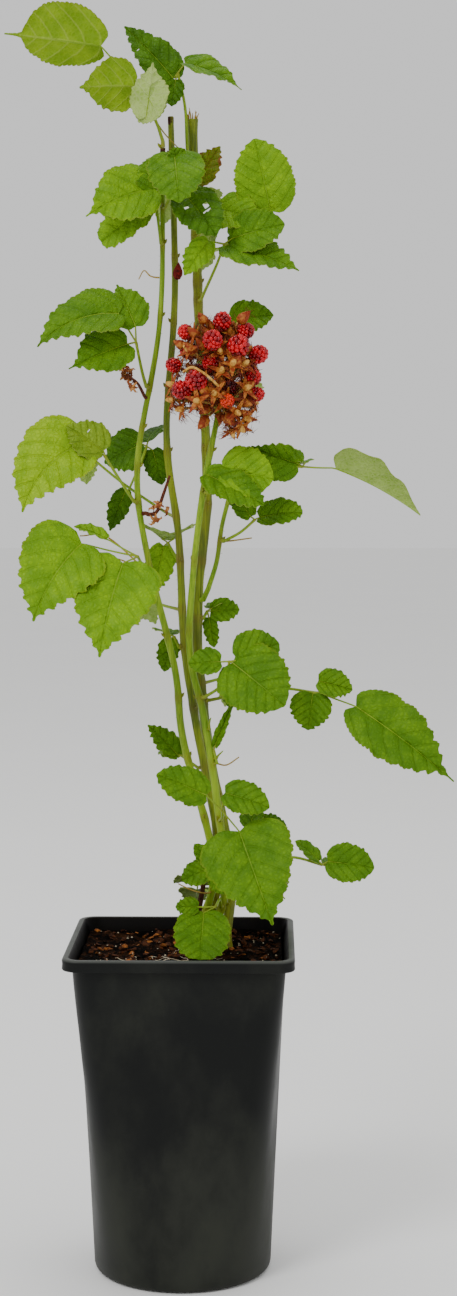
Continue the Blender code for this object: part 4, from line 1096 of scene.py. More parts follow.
@dataclass
class CaneSet:
    """The living canes and the lateral, with joints, ridged bark, bristles and cut tops."""

    step: float = 0.0026
    sides: int = 14
    flare: float = 1.45
    flare_height: float = 0.012
    joint_swelling: float = 0.12
    joint_spread: float = 0.0034
    bristle_length: float = 0.0014
    bristle_radius: float = 0.00009
    soil_top: float = 0.1850
    grown: dict[str, Limb] = field(default_factory=dict)

    def plan(self) -> None:
        """Work out the path and radii of each cane."""
        for cane in CANES:
            knots = [Vector(k) * MM for k in cane.knots]
            if cane.on:
                path = root_on(self.grown[cane.on], knots[0].z, knots[1]) + smooth_path(knots[1:], self.step)
            else:
                knots[0].z = self.soil_top + GAP
                rise = knots[0] + Vector((0.0, 0.0, 0.004))
                path = smooth_path([knots[0], rise], self.step)[:-1] + smooth_path([rise] + knots[1:], self.step)
            total = path[-1].z - path[0].z
            radii = []
            for co in path:
                up = (co.z - path[0].z) / total
                radius = (cane.foot + (cane.tip - cane.foot) * up) * MM
                if not cane.on:
                    low = max(0.0, 1.0 - (co.z - path[0].z) / self.flare_height)
                    radius *= 1.0 + (self.flare - 1.0) * low * low
                radii.append(radius)
            self.grown[cane.name] = (path, radii)

    def joints(self, name: str) -> list[float]:
        """Find a cane's joints: where stems leave it, and between.

        Args:
            name: the cane's name.

        Returns:
            Their heights.
        """
        heights = sorted(m.height * MM for m in FRONT + BACK if m.cane == name)
        path = self.grown[name][0]
        marks = [path[0].z] + heights + [path[-1].z]
        extra = []
        for low, high in zip(marks, marks[1:]):
            parts = int((high - low) / 0.042)
            extra += [low + (high - low) * (i + 1) / (parts + 1) for i in range(parts)]
        return sorted(heights + extra)

    def build(self) -> None:
        """Build and dress every cane."""
        for cane in CANES:
            self.build_one(cane)

    def build_one(self, cane: Cane) -> None:
        """Build one cane.

        Args:
            cane: the cane's plan.
        """
        rng = random.Random(cane.name)
        path, plain = self.grown[cane.name]
        dead = cane.name == "dead_stump"
        joints = [] if dead else self.joints(cane.name)
        radii, flush = [], []
        for co, radius in zip(path, plain):
            near = min((abs(co.z - j) for j in joints), default=1.0)
            knot = math.exp(-(near / self.joint_spread) ** 2)
            foot = math.exp(-(co.z - path[0].z) / 0.02) if not cane.on else 0.0
            radii.append(radius * (1.0 + self.joint_swelling * knot))
            flush.append(min(0.7, 0.30 * knot + 0.35 * foot + 0.35 * max(0.0, noise.noise(co * 30.0))))
        bark = DEAD_BARK if dead else (OLD_BARK if cane.name in ("cane_middle", "cane_right") else GREEN_BARK)
        limbs = Limbs()
        if cane.name == "cane_right":
            self.fray(limbs, path, radii, rng)
        limbs.add(path, radii, self.sides if cane.foot > 2 else 10, 0, flush, 0.28 if dead else 0.10)
        if cane.name in ("cane_middle", "cane_left") or dead:
            self.cut(limbs, path, radii)
        if not dead:
            self.bristles(limbs, path, radii, rng)
            for joint in joints:
                self.bud(limbs, (path, radii), joint, rng)
        for height, knots, root, tip, slot in CANE_EXTRAS.get(cane.name, ()):
            points = [Vector(k) * MM for k in knots]
            start = root_on((path, plain), height * MM, points[0])
            line = smooth_path(start + points, 0.0012)
            last = len(line) - 1
            widths = [(root + (tip - root) * i / last) * MM for i in range(last + 1)]
            if root < 0:
                widths = [0.0002 - w * math.sin(math.pi * i / last) for i, w in enumerate(widths)]
            limbs.add(line, widths, 8, slot, [0.4 - 0.3 * i / last for i in range(last + 1)], 0.2)
        finishes = (bark, DEAD_BARK, BRISTLES, DRY_STRAW, WITHERED_BUD)
        slot = "dead_cane" if dead else "green_cane"
        add_piece(cane.name + "_bark", limbs.done(), finishes, (cane.name,), 50.0)

    def fray(self, limbs: Limbs, path: list[Vector], radii: list[float], rng: random.Random) -> None:
        """Splay a cut top and stand torn fibres round it.

        Args:
            limbs: the mesh that is added to.
            path: the cane's points.
            radii: its radii, which are widened near the top.
            rng: the source of chance.
        """
        top = path[-1]
        way = (path[-1] - path[-2]).normalized()
        for i, co in enumerate(path):
            up = max(0.0, 1.0 - (top - co).length / 0.014)
            radii[i] *= 1.0 + 0.34 * up * up
        for k in range(7):
            turn = Matrix.Rotation(math.tau * (k + rng.uniform(-0.3, 0.3)) / 7, 3, way)
            out = turn @ way.orthogonal().normalized()
            root = top + out * radii[-1] * 0.7 - way * 0.0015
            length = rng.uniform(0.004, 0.009)
            bend = out * rng.uniform(-0.2, 0.5)
            line = [root, root + (way + bend * 0.3) * length * 0.5, root + (way + bend) * length]
            limbs.add(line, [0.00055, 0.00042, 0.00018], 5, 3)

    def cut(self, limbs: Limbs, path: list[Vector], radii: list[float]) -> None:
        """Cap a top with a thin dark, shrunken cut.

        Args:
            limbs: the mesh that is added to.
            path: the cane's points.
            radii: its radii.
        """
        way = (path[-1] - path[-2]).normalized()
        top = path[-1]
        radius = radii[-1]
        line = [top - way * 0.0046, top - way * 0.0030, top - way * 0.0004, top + way * 0.0002]
        limbs.add(line, [radius * 0.98, radius * 1.04, radius * 1.05, radius * 0.8], 12, 1)

    def bristles(self, limbs: Limbs, path: list[Vector], radii: list[float], rng: random.Random) -> None:
        """Scatter short stiff hairs up a cane.

        Args:
            limbs: the mesh that is added to.
            path: the cane's points.
            radii: its radii.
            rng: the source of chance.
        """
        for i in range(4, len(path) - 1):
            if rng.random() > 0.55:
                continue
            way = (path[i + 1] - path[i - 1]).normalized()
            out = Matrix.Rotation(rng.uniform(0, math.tau), 3, way) @ way.orthogonal().normalized()
            lean = (out + way * rng.uniform(-0.3, 0.2)).normalized()
            limbs.bristle(path[i] + out * radii[i] * 0.97, lean,
                          self.bristle_length * rng.uniform(0.6, 1.2), self.bristle_radius, 2)

    def bud(self, limbs: Limbs, limb: Limb, height: float, rng: random.Random) -> None:
        """Sit one small pointed bud in a joint.

        Args:
            limbs: the mesh that is added to.
            limb: the cane's points and radii.
            height: the joint's height.
            rng: the source of chance.
        """
        centre, radius, way = limb_at(limb, height)
        out = Matrix.Rotation(rng.uniform(0, math.tau), 3, way) @ way.orthogonal().normalized()
        root = centre + out * radius * 0.7
        tip = (out * 0.75 + way).normalized()
        line = [root + tip * d for d in (0.0, 0.0008, 0.0017, 0.0026, 0.0032)]
        limbs.add(line, [0.0006, 0.0009, 0.0009, 0.0005, 0.0001], 6, 0, [0.6, 0.5, 0.4, 0.5, 0.7])


# ---------------------------------------------------------------- leaves

def blade_frame(blade: Blade) -> tuple[Vector, Vector, Vector]:
    """Turn a leaflet's angles into directions.

    Args:
        blade: the leaflet's plan.

    Returns:
        The way it points, its side and its upper normal.
    """
    aim, lean, face = (math.radians(v) for v in (blade.aim, blade.lean, blade.face))
    along = Vector((math.cos(aim) * math.cos(lean), -math.sin(lean), math.sin(aim) * math.cos(lean)))
    normal = Vector((0.0, -math.cos(face), math.sin(face)))
    normal = (normal - along * normal.dot(along)).normalized()
    return along, along.cross(normal), normal


def midrib_point(blade: Blade, base: Vector, t: float) -> tuple[Vector, Vector, Vector]:
    """Find a place on a leaflet's drooping, bowed midrib.

    Args:
        blade: the leaflet's plan.
        base: where its midrib starts.
        t: how far along it, from 0 to 1.

    Returns:
        The place, the upper normal there and the side.
    """
    along, side, normal = blade_frame(blade)
    droop, bow = max(0.001, math.radians(blade.droop)), math.radians(blade.bow)
    length = blade.length * MM
    half = 0.5 * droop
    bend = droop * t - half
    radius = length / droop
    place = base + along * (radius * (math.sin(bend) + math.sin(half)))
    place -= normal * (radius * (math.cos(half) - math.cos(bend)))
    place += side * (0.5 * length * bow * t * (1.0 - t))
    up = (normal * math.cos(bend) + along * math.sin(bend)).normalized()
    turn = bow * (0.5 - t)
    return place, up, side * math.cos(turn) - up.cross(side) * math.sin(turn)


def read_off(table: Sequence[tuple[float, float]], at: float) -> float:
    """Read a value off a table of places and values, straight between its rows.

    Args:
        table: the rows, in rising order.
        at: the place.

    Returns:
        The value there.
    """
    for (t0, w0), (t1, w1) in zip(table, table[1:]):
        if at <= t1:
            return w0 + (w1 - w0) * (at - t0) / (t1 - t0)
    return table[-1][1]


def half_width(outline: Outline, t: float, drip: float) -> float:
    """Find a leaflet's half width, as a part of its greatest.

    Args:
        outline: the leaflet's outline.
        t: how far along the midrib, from 0 to 1.
        drip: how far its own outline shows and not a blunt one, from 0 to 1.

    Returns:
        The half width.
    """
    return read_off(outline.value.widths, t) * drip + read_off(Outline.BLUNT.value.widths, t) * (1.0 - drip)


@dataclass
class FoliageMass:
    """The leaves of one stem: toothed, quilted leaflets, and their stalks in a mesh apart."""

    mass: Mass
    canes: dict[str, Limb]
    thickness: float = 0.00034
    tooth_spacing: float = 2.3
    tooth_rows: tuple[float, ...] = (0.0, 0.38, 0.76)
    tooth_rise: tuple[float, ...] = (-1.0, 0.7, 0.9)
    fine_tooth: float = 0.00036
    coarse_tooth: float = 0.00105
    vein_slope: float = 0.7
    vein_curve: float = 0.07
    heart: float = 0.10
    quilting: float = 0.0008
    stalk_radius: float = 0.00052
    stem_tip: float = 0.00074
    wide_columns: tuple[float, ...] = (0.0, 0.09, 0.27, 0.48, 0.7, 0.88, 1.0)
    narrow_columns: tuple[float, ...] = (0.0, 0.13, 0.42, 0.76, 1.0)

    def build(self) -> None:
        """Build and dress the leaflets and the stalks."""
        rng = random.Random(self.mass.name)
        total = sum(len(leaf.blades) for leaf in self.mass.leaves)
        tones = self.dealt(LEAFLET_TONES.get(self.mass.name, ()), Tone(self.mass.tone), total)
        lines = OUTLINES.get(self.mass.name, (Outline.POINTED,))
        outlines = self.dealt(lines, lines[-1], total)
        kinds = list(dict.fromkeys(tones))
        sheets = bmesh.new()
        sheets.loops.layers.uv.new("veins")
        limbs = Limbs()
        line, radii = self.stem(limbs)
        count = 0
        for leaf in self.mass.leaves:
            hub = Vector(leaf.hub) * MM
            if leaf.start < 1.0:
                fork = line[round(leaf.start * (len(line) - 1))]
                branch = smooth_path([fork, *(Vector(v) * MM for v in leaf.via), hub], 0.004)
                limbs.add(branch, [self.stem_tip * 0.9] * len(branch), 8)
            for blade in leaf.blades:
                slot = 2 * kinds.index(tones[count])
                base = self.stalk(limbs, blade, hub, rng)
                eaten = [e[1:] for e in EATEN.get(self.mass.name, ()) if e[0] == count]
                self.leaflet(sheets, blade, outlines[count], base, slot, eaten, rng)
                count += 1
        for part, knots, radius, slot in STEM_EXTRAS.get(self.mass.name, ()):
            fork = line[round(part * (len(line) - 1))]
            twig = smooth_path([fork, *(Vector(v) * MM for v in knots)], 0.002)
            last = len(twig) - 1
            limbs.add(twig, [radius * MM * (1.0 - 0.3 * i / last) for i in range(last + 1)], 7, 2 * slot,
                      [0.7] * (last + 1), 0.15)
        finishes: list[Any] = []
        for kind in kinds:
            finishes += [UPPER[kind], UNDER[kind]]
        mesh = bpy.data.meshes.new(self.mass.name)
        sheets.to_mesh(mesh)
        sheets.free()
        loose = bpy.data.objects.new("sheet", mesh)
        bpy.context.scene.collection.objects.link(loose)
        thick = loose.modifiers.new("Thickness", "SOLIDIFY")
        thick.thickness = self.thickness
        thick.offset = -1.0
        thick.material_offset = 1
        thick.material_offset_rim = 1
        for finish in finishes:
            mesh.materials.append(surface(finish))
        name = self.mass.name
        add_piece(name + "_leaves", baked(loose), finishes, (name,), 60.0)
        add_piece(name + "_stalks", limbs.done(), (STALK_BARK, BRISTLES, DRY_STRAW), (name,), 60.0)

    def dealt(self, given: Sequence[Any], own: Any, total: int) -> list[Any]:
        """Deal something out to the leaflets: what is given first, then the mass's own.

        Args:
            given: what the first leaflets get.
            own: what the rest get.
            total: how many leaflets there are.

        Returns:
            One for each leaflet.
        """
        return [given[i] if i < len(given) else own for i in range(total)]

    def stem(self, limbs: Limbs) -> Limb:
        """Grow the stem from its cane to the leaf's hub.

        Args:
            limbs: the mesh that is added to.

        Returns:
            The stem's points and radii.
        """
        mass = self.mass
        knots = [Vector(v) * MM for v in mass.via]
        knots.append(Vector(mass.leaves[0].hub) * MM)
        start = root_on(self.canes[mass.cane], mass.height * MM, knots[0])
        path = [start[0]] + smooth_path([start[1]] + knots, 0.0035)
        count = len(path) - 1
        radii, flush = [], []
        for i in range(count + 1):
            part = i / count
            swell = 1.0 + 0.4 * math.exp(-part * count * 0.0035 / 0.003)
            swell += 0.25 * math.exp(-(1.0 - part) * count * 0.0035 / 0.002)
            radii.append((mass.stem * MM * 0.88 + (self.stem_tip - mass.stem * MM * 0.88) * part) * swell)
            flush.append(0.5 * math.exp(-part * 6.0) + 0.3 * math.exp(-(1.0 - part) * 9.0))
        limbs.add(path, radii, 8, 0, flush, 0.05)
        return path, radii

    def stalk(self, limbs: Limbs, blade: Blade, hub: Vector, rng: random.Random) -> Vector:
        """Grow a leaflet's stalk and the midrib that carries it on under the blade.

        Args:
            limbs: the mesh that is added to.
            blade: the leaflet's plan.
            hub: where the leaflets meet.
            rng: the source of chance.

        Returns:
            Where the blade starts.
        """
        heading = math.radians(blade.heading)
        out = Vector((math.cos(heading), 0.0, math.sin(heading)))
        base = hub + out * blade.stalk * MM
        along, _, normal = blade_frame(blade)
        middle = hub.lerp(base, 0.5) - normal * blade.stalk * MM * rng.uniform(0.0, 0.05)
        line = smooth_path([hub - out * 0.0003, middle, base], 0.0025)[:-1]
        radii = [self.stalk_radius * (1.15 - 0.25 * i / len(line)) for i in range(len(line))]
        under = self.thickness * 0.9
        steps = max(5, round(blade.length / 4.0))
        for i in range(steps + 1):
            t = 0.93 * i / steps
            place, up, _ = midrib_point(blade, base, t)
            line.append(place - up * (under + 0.00018 * (1.0 - t)))
            radii.append(self.stalk_radius * (0.82 * (1.0 - t) ** 1.3 + 0.10))
        flush = [0.35 * math.exp(-i * 0.4) for i in range(len(line))]
        limbs.add(line, radii, 6, 0, flush)
        return base

    def leaflet(self, bm: bmesh.types.BMesh, blade: Blade, outline: Outline, base: Vector, slot: int,
                eaten: Sequence[Sequence[float]], rng: random.Random) -> None:
        """Shape one leaflet from a grid: outline, teeth, fold, quilting and wavy margin.

        Args:
            bm: the mesh that is added to.
            blade: the leaflet's plan.
            outline: its outline.
            base: where its midrib starts.
            slot: the material index of its upper face.
            eaten: holes as a place along and across and a radius in millimetres.
            rng: the source of chance.
        """
        length = blade.length * MM
        teeth = max(7, round(blade.length / self.tooth_spacing))
        columns = self.wide_columns if blade.length >= 22 else self.narrow_columns
        half_count = len(columns) - 1
        made = bmesh.ops.create_grid(bm, x_segments=2 * half_count, y_segments=3 * teeth, size=0.5)["verts"]
        uv = bm.loops.layers.uv["veins"]
        fold = math.radians(blade.fold)
        size = min(1.0, 0.35 + blade.length / 75.0)
        pairs = round(3.6 + blade.length / 20.0)
        phases = (rng.uniform(0.0, math.tau), rng.uniform(0.0, math.tau))
        ripple = rng.uniform(2.2, 3.4)
        twist = rng.uniform(-0.10, 0.10)
        jitter = [rng.uniform(0.5, 1.4) for _ in range(teeth + 1)]
        lobes = [rng.uniform(0.6, 1.3) for _ in range(20)]
        drip = min(1.0, max(0.0, (blade.length - 18.0) / 16.0))
        marks = {}
        for vert in made:
            i = round((vert.co.y + 0.5) * 3 * teeth)
            j = round((vert.co.x + 0.5) * 2 * half_count) - half_count
            part = self.tooth_rows[i % 3]
            t = min(1.0, (i // 3 + part) / teeth)
            s = math.copysign(columns[abs(j)], j) if j else 0.0
            half = max(0.5 * blade.width * MM * half_width(outline, t, drip), 0.0003)
            half *= 1.0 + blade.skew * (1 if j > 0 else -1)
            curve = self.vein_curve * half / (0.5 * blade.width * MM)
            edge = max(0.0, (abs(s) - 0.5) / 0.5) ** 2
            limit = min(1.0, half / 0.004)
            rise = self.tooth_rise[i % 3] * self.fine_tooth * jitter[i // 3]
            phase = t - self.vein_slope * half / length - curve
            turn = pairs * phase
            swing = self.coarse_tooth * outline.value.lobes * (0.35 + 0.85 * t)
            lobe = math.cos(math.tau * turn) * swing * lobes[round(turn) + 9 * (j > 0)]
            if i == 0 or t >= 1.0:
                rise, lobe = 0.0, 0.0
            reach = abs(s) * half + edge * limit * size * (rise + lobe)
            vein = t - self.vein_slope * reach / length - curve * s * s
            dome = math.sin(math.pi * pairs * vein) ** 2
            lift = self.quilting * size * dome * min(1.0, reach / 0.0025) * (1.0 - 0.6 * s * s)
            lift -= 0.0003 * size * math.exp(-(reach / 0.0009) ** 2)
            lift += math.sin(fold) * (abs(s) - 0.25 * s * s) * half
            wave = math.sin(math.tau * ripple * t + phases[j > 0])
            lift += 0.0011 * size * s * s * wave * math.sin(math.pi * min(1.0, t * 1.1))
            lift += twist * s * half * (t - 0.3) - 0.03 * half * s ** 4
            place, up, side = midrib_point(blade, base, t)
            ahead = up.cross(side).normalized()
            push = edge * limit * size * (0.4 * max(rise, 0.0) + 0.25 * lobe)
            back = self.heart * length * (1.0 - t) ** 3 * min(1.0, reach / (0.18 * blade.width * MM))
            vert.co = (place + side * math.copysign(reach * math.cos(fold * 0.8), j)
                       + up * lift + ahead * (push - back))
            marks[vert] = (0.5 + 0.5 * s, vein * pairs / VEIN_PAIRS)
        faces = {f for v in made for f in v.link_faces}
        for face in faces:
            face.material_index = slot
            for loop in face.loops:
                loop[uv].uv = marks[loop.vert]
        for along, across, radius in eaten:
            spot, _, side = midrib_point(blade, base, along)
            spot = spot + side * across * 0.5 * blade.width * MM * half_width(outline, along, drip)
            ragged = [f for f in faces if f.is_valid and (f.calc_center_median() - spot).length
                      < radius * MM * rng.uniform(0.85, 1.3)]
            bmesh.ops.delete(bm, geom=ragged, context="FACES")


# ---------------------------------------------------------------- fruit

@dataclass
class FruitCluster:
    """Ripe berries, spent calyces, their stalks and their bristles."""

    canes: dict[str, Limb]
    drupelets: int = 58
    drupelet_share: float = 0.212
    sepal_length: float = 0.0098
    sepal_width: float = 0.0038
    sepal_thickness: float = 0.00035
    bristle_length: float = 0.0050
    bristle_radius: float = 0.00019
    core_radius: float = 0.0018
    core_height: float = 0.0052
    bud_radius: float = 0.0034
    bud_length: float = 0.0100
    more_closed: int = 34

    def build(self) -> None:
        """Build and dress the whole cluster."""
        rng = random.Random(5)
        path = self.canes["cane_fruiting"][0]
        way = (path[-1] - path[-2]).normalized()
        foot = path[-1] + way * GAP * 1.5
        top = Vector(CLUSTER_TOP) * MM
        line = smooth_path([foot, foot + way * 0.004, foot.lerp(top, 0.5), top], 0.003)
        radii = [0.0016 - 0.0007 * i / (len(line) - 1) for i in range(len(line))]
        stalks, hairs, cores = Limbs(), Limbs(), Limbs()
        berries, sepals = bmesh.new(), bmesh.new()
        stalks.add(line, radii, 10, 0, None, 0.08)
        drop = self.drupelet()
        fruits = [(Stage.BERRY, Vector(b[:3]) * MM, b[3] * MM) for b in BERRIES]
        fruits += [(Stage.SPENT, Vector(s) * MM, 0.0) for s in SPENT]
        fruits += [(Stage.CLOSED, Vector(s) * MM, 0.0) for s in CLOSED]
        for _ in range(self.more_closed):
            turn, up = rng.uniform(0.0, math.tau), rng.uniform(-1.0, 1.0)
            wide = 0.019 * math.sqrt(1.0 - 0.7 * up * up) * rng.uniform(0.3, 1.0)
            fruits.append((Stage.CLOSED, Vector((0.0200 + wide * math.cos(turn), -0.028 + 0.7 * wide * math.sin(turn),
                                                 0.517 + 0.024 * up)), 0.0))
        bowed = smooth_path([Vector(k) * MM for k in BOWED_STALK], 0.0012)
        stalks.add(bowed, [0.00075] * len(bowed), 7, 1, None, 0.1)
        for number, (stage, centre, radius) in enumerate(fruits):
            height = min(max(centre.z - 0.010, foot.z + 0.005), top.z - 0.002)
            root, _, _ = limb_at((line, radii), height)
            out = (centre - root).normalized()
            seat = centre - out * (radius + 0.0004)
            bow = root.lerp(seat, 0.5) - Vector((0.0, 0.0, 0.0015))
            stem = smooth_path([root, bow, seat + out * 0.0006], 0.002)
            stalks.add(stem, [0.00062 + 0.0003 * (i / len(stem)) ** 3 for i in range(len(stem))], 6)
            self.hairs_on(hairs, stem, rng)
            if stage is Stage.CLOSED:
                self.bud(stalks, hairs, seat, out, rng)
                continue
            self.calyx(sepals, hairs, seat, out, stage is Stage.BERRY, rng)
            if stage is Stage.BERRY:
                self.berry(berries, drop, centre, out, radius, UNEVEN.get(number, Skin.RIPE), rng)
            else:
                tip = [seat + out * self.core_height * part for part in (0.0, 0.35, 0.7, 0.92, 1.0)]
                cores.add(tip, [self.core_radius * r for r in (1.0, 0.95, 0.75, 0.4, 0.12)], 10, 0, None, 0.2)
        nodes = ("fruit_cluster",)
        bmesh.ops.recalc_face_normals(berries, faces=berries.faces)
        add_piece("ripe_berries", berries, (RIPE_SKIN, RIPENING_SKIN, OVERRIPE_SKIN), nodes, 180.0)
        add_piece("fruit_sepals", self.thickened(sepals), (SEPALS, CALYX_INSIDE), nodes, 60.0)
        add_piece("fruit_stalk", stalks.done(), (FRUIT_STALKS, FRUIT_CORES, SEPALS), nodes, 60.0)
        add_piece("fruit_bristles", hairs.done(), (BRISTLES,), nodes, 60.0)
        add_piece("bare_fruit_cores", cores.done(), (FRUIT_CORES,), nodes, 60.0)

    def bud(self, buds: Limbs, hairs: Limbs, seat: Vector, out: Vector, rng: random.Random) -> None:
        """Close one hairy calyx.

        Args:
            buds: the mesh that the calyx is added to.
            hairs: the bristles' mesh.
            seat: where it sits on its stalk.
            out: the way it points.
            rng: the source of chance.
        """
        size = rng.uniform(0.7, 1.1)
        length, thick = self.bud_length * size, self.bud_radius * size
        line = [seat + out * length * part for part in (0.0, 0.12, 0.35, 0.6, 0.82, 1.0)]
        buds.add(line, [thick * part for part in (0.3, 0.8, 1.0, 0.8, 0.45, 0.08)], 9, 2, None, 0.3)
        for _ in range(24):
            way = Matrix.Rotation(rng.uniform(0.0, math.tau), 3, out) @ out.orthogonal().normalized()
            up = rng.random()
            hairs.bristle(seat + out * length * up + way * thick * (0.9 - 0.7 * up),
                          (way + out * rng.uniform(-0.2, 0.8)).normalized(),
                          self.bristle_length * rng.uniform(0.4, 1.0), self.bristle_radius)

    def drupelet(self) -> bpy.types.Mesh:
        """Make one small round drupelet.

        Returns:
            Its mesh, of unit radius.
        """
        bm = bmesh.new()
        bmesh.ops.create_uvsphere(bm, u_segments=9, v_segments=6, radius=1.0)
        mesh = bpy.data.meshes.new("drupelet")
        bm.to_mesh(mesh)
        bm.free()
        return mesh

    def berry(self, bm: bmesh.types.BMesh, drop: bpy.types.Mesh, centre: Vector, out: Vector,
              radius: float, skin: Skin, rng: random.Random) -> None:
        """Gather drupelets into one berry.

        Args:
            bm: the mesh that is added to.
            drop: the drupelet's mesh.
            centre: the berry's middle.
            out: the way from its stalk to its tip.
            radius: its radius.
            skin: how ripe it is.
            rng: the source of chance.
        """
        turn = out.to_track_quat("Z", "Y").to_matrix().to_4x4()
        small = self.drupelet_share * radius
        for k in range(-1, self.drupelets):
            before = len(bm.verts)
            bm.from_mesh(drop)
            bm.verts.ensure_lookup_table()
            fresh = bm.verts[before:]
            if k < 0:
                grow = Matrix.Diagonal((radius * 0.76, radius * 0.76, radius * 0.8, 1.0))
                matrix = Matrix.Translation(centre) @ turn @ grow
            else:
                high = 1.0 - 2.0 * (k + 0.5) / self.drupelets
                flat = math.sqrt(1.0 - high * high)
                angle = 2.39996 * k
                way = Vector((flat * math.cos(angle), flat * math.sin(angle), high * 1.16))
                place = turn @ (way * (radius - small))
                size = small * rng.uniform(0.92, 1.12)
                matrix = Matrix.Translation(centre + place) @ Matrix.Diagonal((size, size, size, 1.0))
            bmesh.ops.transform(bm, matrix=matrix, verts=fresh)
            for face in {f for v in fresh for f in v.link_faces}:
                face.material_index = skin

    def calyx(self, bm: bmesh.types.BMesh, hairs: Limbs, seat: Vector, out: Vector, ripe: bool,
              rng: random.Random) -> None:
        """Spread five pointed, bristly sepals behind a berry or round a spent core.

        Args:
            bm: the sepals' mesh.
            hairs: the bristles' mesh.
            seat: where the sepals join.
            out: the way from the stalk to the berry.
            ripe: whether a berry sits on them.
            rng: the source of chance.
        """
        across = out.orthogonal().normalized()
        start = rng.uniform(0.0, math.tau)
        for k in range(5):
            turn = Matrix.Rotation(start + math.tau * k / 5, 3, out)
            ray = turn @ across
            edge = out.cross(ray)
            length = self.sepal_length * rng.uniform(0.85, 1.15)
            rise = rng.uniform(0.05, 0.35) if ripe else rng.uniform(0.1, 0.6)
            made = bmesh.ops.create_grid(bm, x_segments=2, y_segments=6, size=0.5)["verts"]
            for vert in made:
                t = vert.co.y + 0.5
                s = vert.co.x * 2.0
                wide = self.sepal_width * 0.5 * (min(1.0, 0.55 + 2.2 * t) * (1.0 - t) ** 0.8 + 0.04)
                lift = rise * t + (0.25 - rise) * t * t
                vert.co = (seat + ray * length * t * (1.0 - 0.15 * t) + out * (length * lift + abs(s) * wide * 0.35)
                           - edge * s * wide)
            for _ in range(16):
                t = rng.uniform(0.05, 0.95)
                root = seat + ray * length * t * 0.9 + out * length * rise * t
                root += edge * self.sepal_width * 0.35 * rng.uniform(-1, 1) * (1 - t)
                lean = (ray * rng.uniform(-0.2, 0.9) - out * rng.uniform(0.2, 1.0)
                        + edge * rng.uniform(-0.9, 0.9)).normalized()
                hairs.bristle(root, lean, self.bristle_length * rng.uniform(0.5, 1.2), self.bristle_radius)
            for _ in range(3 if ripe else 1):
                lean = (ray + out * rng.uniform(-0.3, 0.5) + edge * rng.uniform(-0.6, 0.6)).normalized()
                hairs.bristle(seat + ray * length * rng.uniform(0.3, 0.9), lean,
                              self.bristle_length * rng.uniform(1.1, 1.7), self.bristle_radius)

    def hairs_on(self, hairs: Limbs, line: Sequence[Vector], rng: random.Random) -> None:
        """Stand bristles along a stalk.

        Args:
            hairs: the bristles' mesh.
            line: the stalk's points.
            rng: the source of chance.
        """
        for a, b in zip(line, line[1:]):
            way = (b - a).normalized()
            for _ in range(3):
                out = Matrix.Rotation(rng.uniform(0, math.tau), 3, way) @ way.orthogonal().normalized()
                hairs.bristle(a.lerp(b, rng.random()) + out * 0.0005, out,
                              self.bristle_length * rng.uniform(0.5, 1.0), self.bristle_radius)

    def thickened(self, bm: bmesh.types.BMesh) -> bpy.types.Mesh:
        """Give the sepals their thickness.

        Args:
            bm: the sepals' mesh.

        Returns:
            The thick mesh.
        """
        mesh = bpy.data.meshes.new("sepals")
        bm.to_mesh(mesh)
        bm.free()
        loose = bpy.data.objects.new("sheet", mesh)
        bpy.context.scene.collection.objects.link(loose)
        thick = loose.modifiers.new("Thickness", "SOLIDIFY")
        thick.thickness = self.sepal_thickness
        thick.offset = 0.0
        thick.material_offset = 1
        for finish in (SEPALS, CALYX_INSIDE):
            mesh.materials.append(surface(finish))
        return baked(loose)


# ---------------------------------------------------------------- dead twigs

@dataclass
class DeadTwig:
    """A withered twig with broken side twigs and a few dry bracts."""

    mass: Mass
    canes: dict[str, Limb]
    twig_length: float = 0.0050
    bract_length: float = 0.0052
    tufts: ClassVar[dict[str, tuple[float, float]]] = {"dead_twig": (0.5, 1.0), "dead_flower_stub": (0.12, 0.5)}

    def build(self) -> None:
        """Build and dress the twig."""
        rng = random.Random(self.mass.name)
        knots = [Vector(v) * MM for v in self.mass.via]
        start = root_on(self.canes[self.mass.cane], self.mass.height * MM, knots[0])
        line = [start[0]] + smooth_path([start[1]] + knots, 0.0015)
        radii = [self.mass.stem * MM * (1.0 - 0.4 * i / (len(line) - 1)) for i in range(len(line))]
        limbs = Limbs()
        limbs.add(line, radii, 8, 0, None, 0.35)
        first, last = self.tufts[self.mass.name]
        for i in range(round(first * len(line)), round(last * len(line)) - 1):
            way = (line[i + 1] - line[i]).normalized()
            off = Matrix.Rotation(rng.uniform(0, math.tau), 3, way) @ way.orthogonal().normalized()
            off = (off + way * 0.5).normalized()
            length = self.twig_length * rng.uniform(0.35, 1.0)
            bend = Vector((rng.uniform(-1, 1), rng.uniform(-1, 1), rng.uniform(-1, 1))) * length * 0.25
            end = line[i] + off * length
            twig = smooth_path([line[i], line[i].lerp(end, 0.5) + bend, end], 0.001)
            limbs.add(twig, [0.00042 * (1.0 - 0.6 * k / len(twig)) for k in range(len(twig))], 5, 0, None, 0.3)
            self.bracts(limbs, end, off, rng)
        add_piece(self.mass.name + "_dry", limbs.done(), (DEAD_TWIG_BARK, WITHERED, WITHERED_PALE), (self.mass.name,),
                  60.0)

    def bracts(self, limbs: Limbs, end: Vector, way: Vector, rng: random.Random) -> None:
        """Curl a few narrow dry bracts at a twig's end.

        Args:
            limbs: the mesh that is added to.
            end: the twig's end.
            way: the twig's direction.
            rng: the source of chance.
        """
        for _ in range(5):
            off = Matrix.Rotation(rng.uniform(0, math.tau), 3, way) @ way.orthogonal().normalized()
            length = self.bract_length * rng.uniform(0.4, 1.0)
            line = [end, end + (way + off * 0.4) * length * 0.4, end + (way * 0.6 + off) * length * 0.7,
                    end + (way * 0.1 + off * 1.1) * length * 0.85]
            limbs.add(line, [0.0004, 0.0009, 0.0006, 0.00015], 4, rng.randint(1, 2))


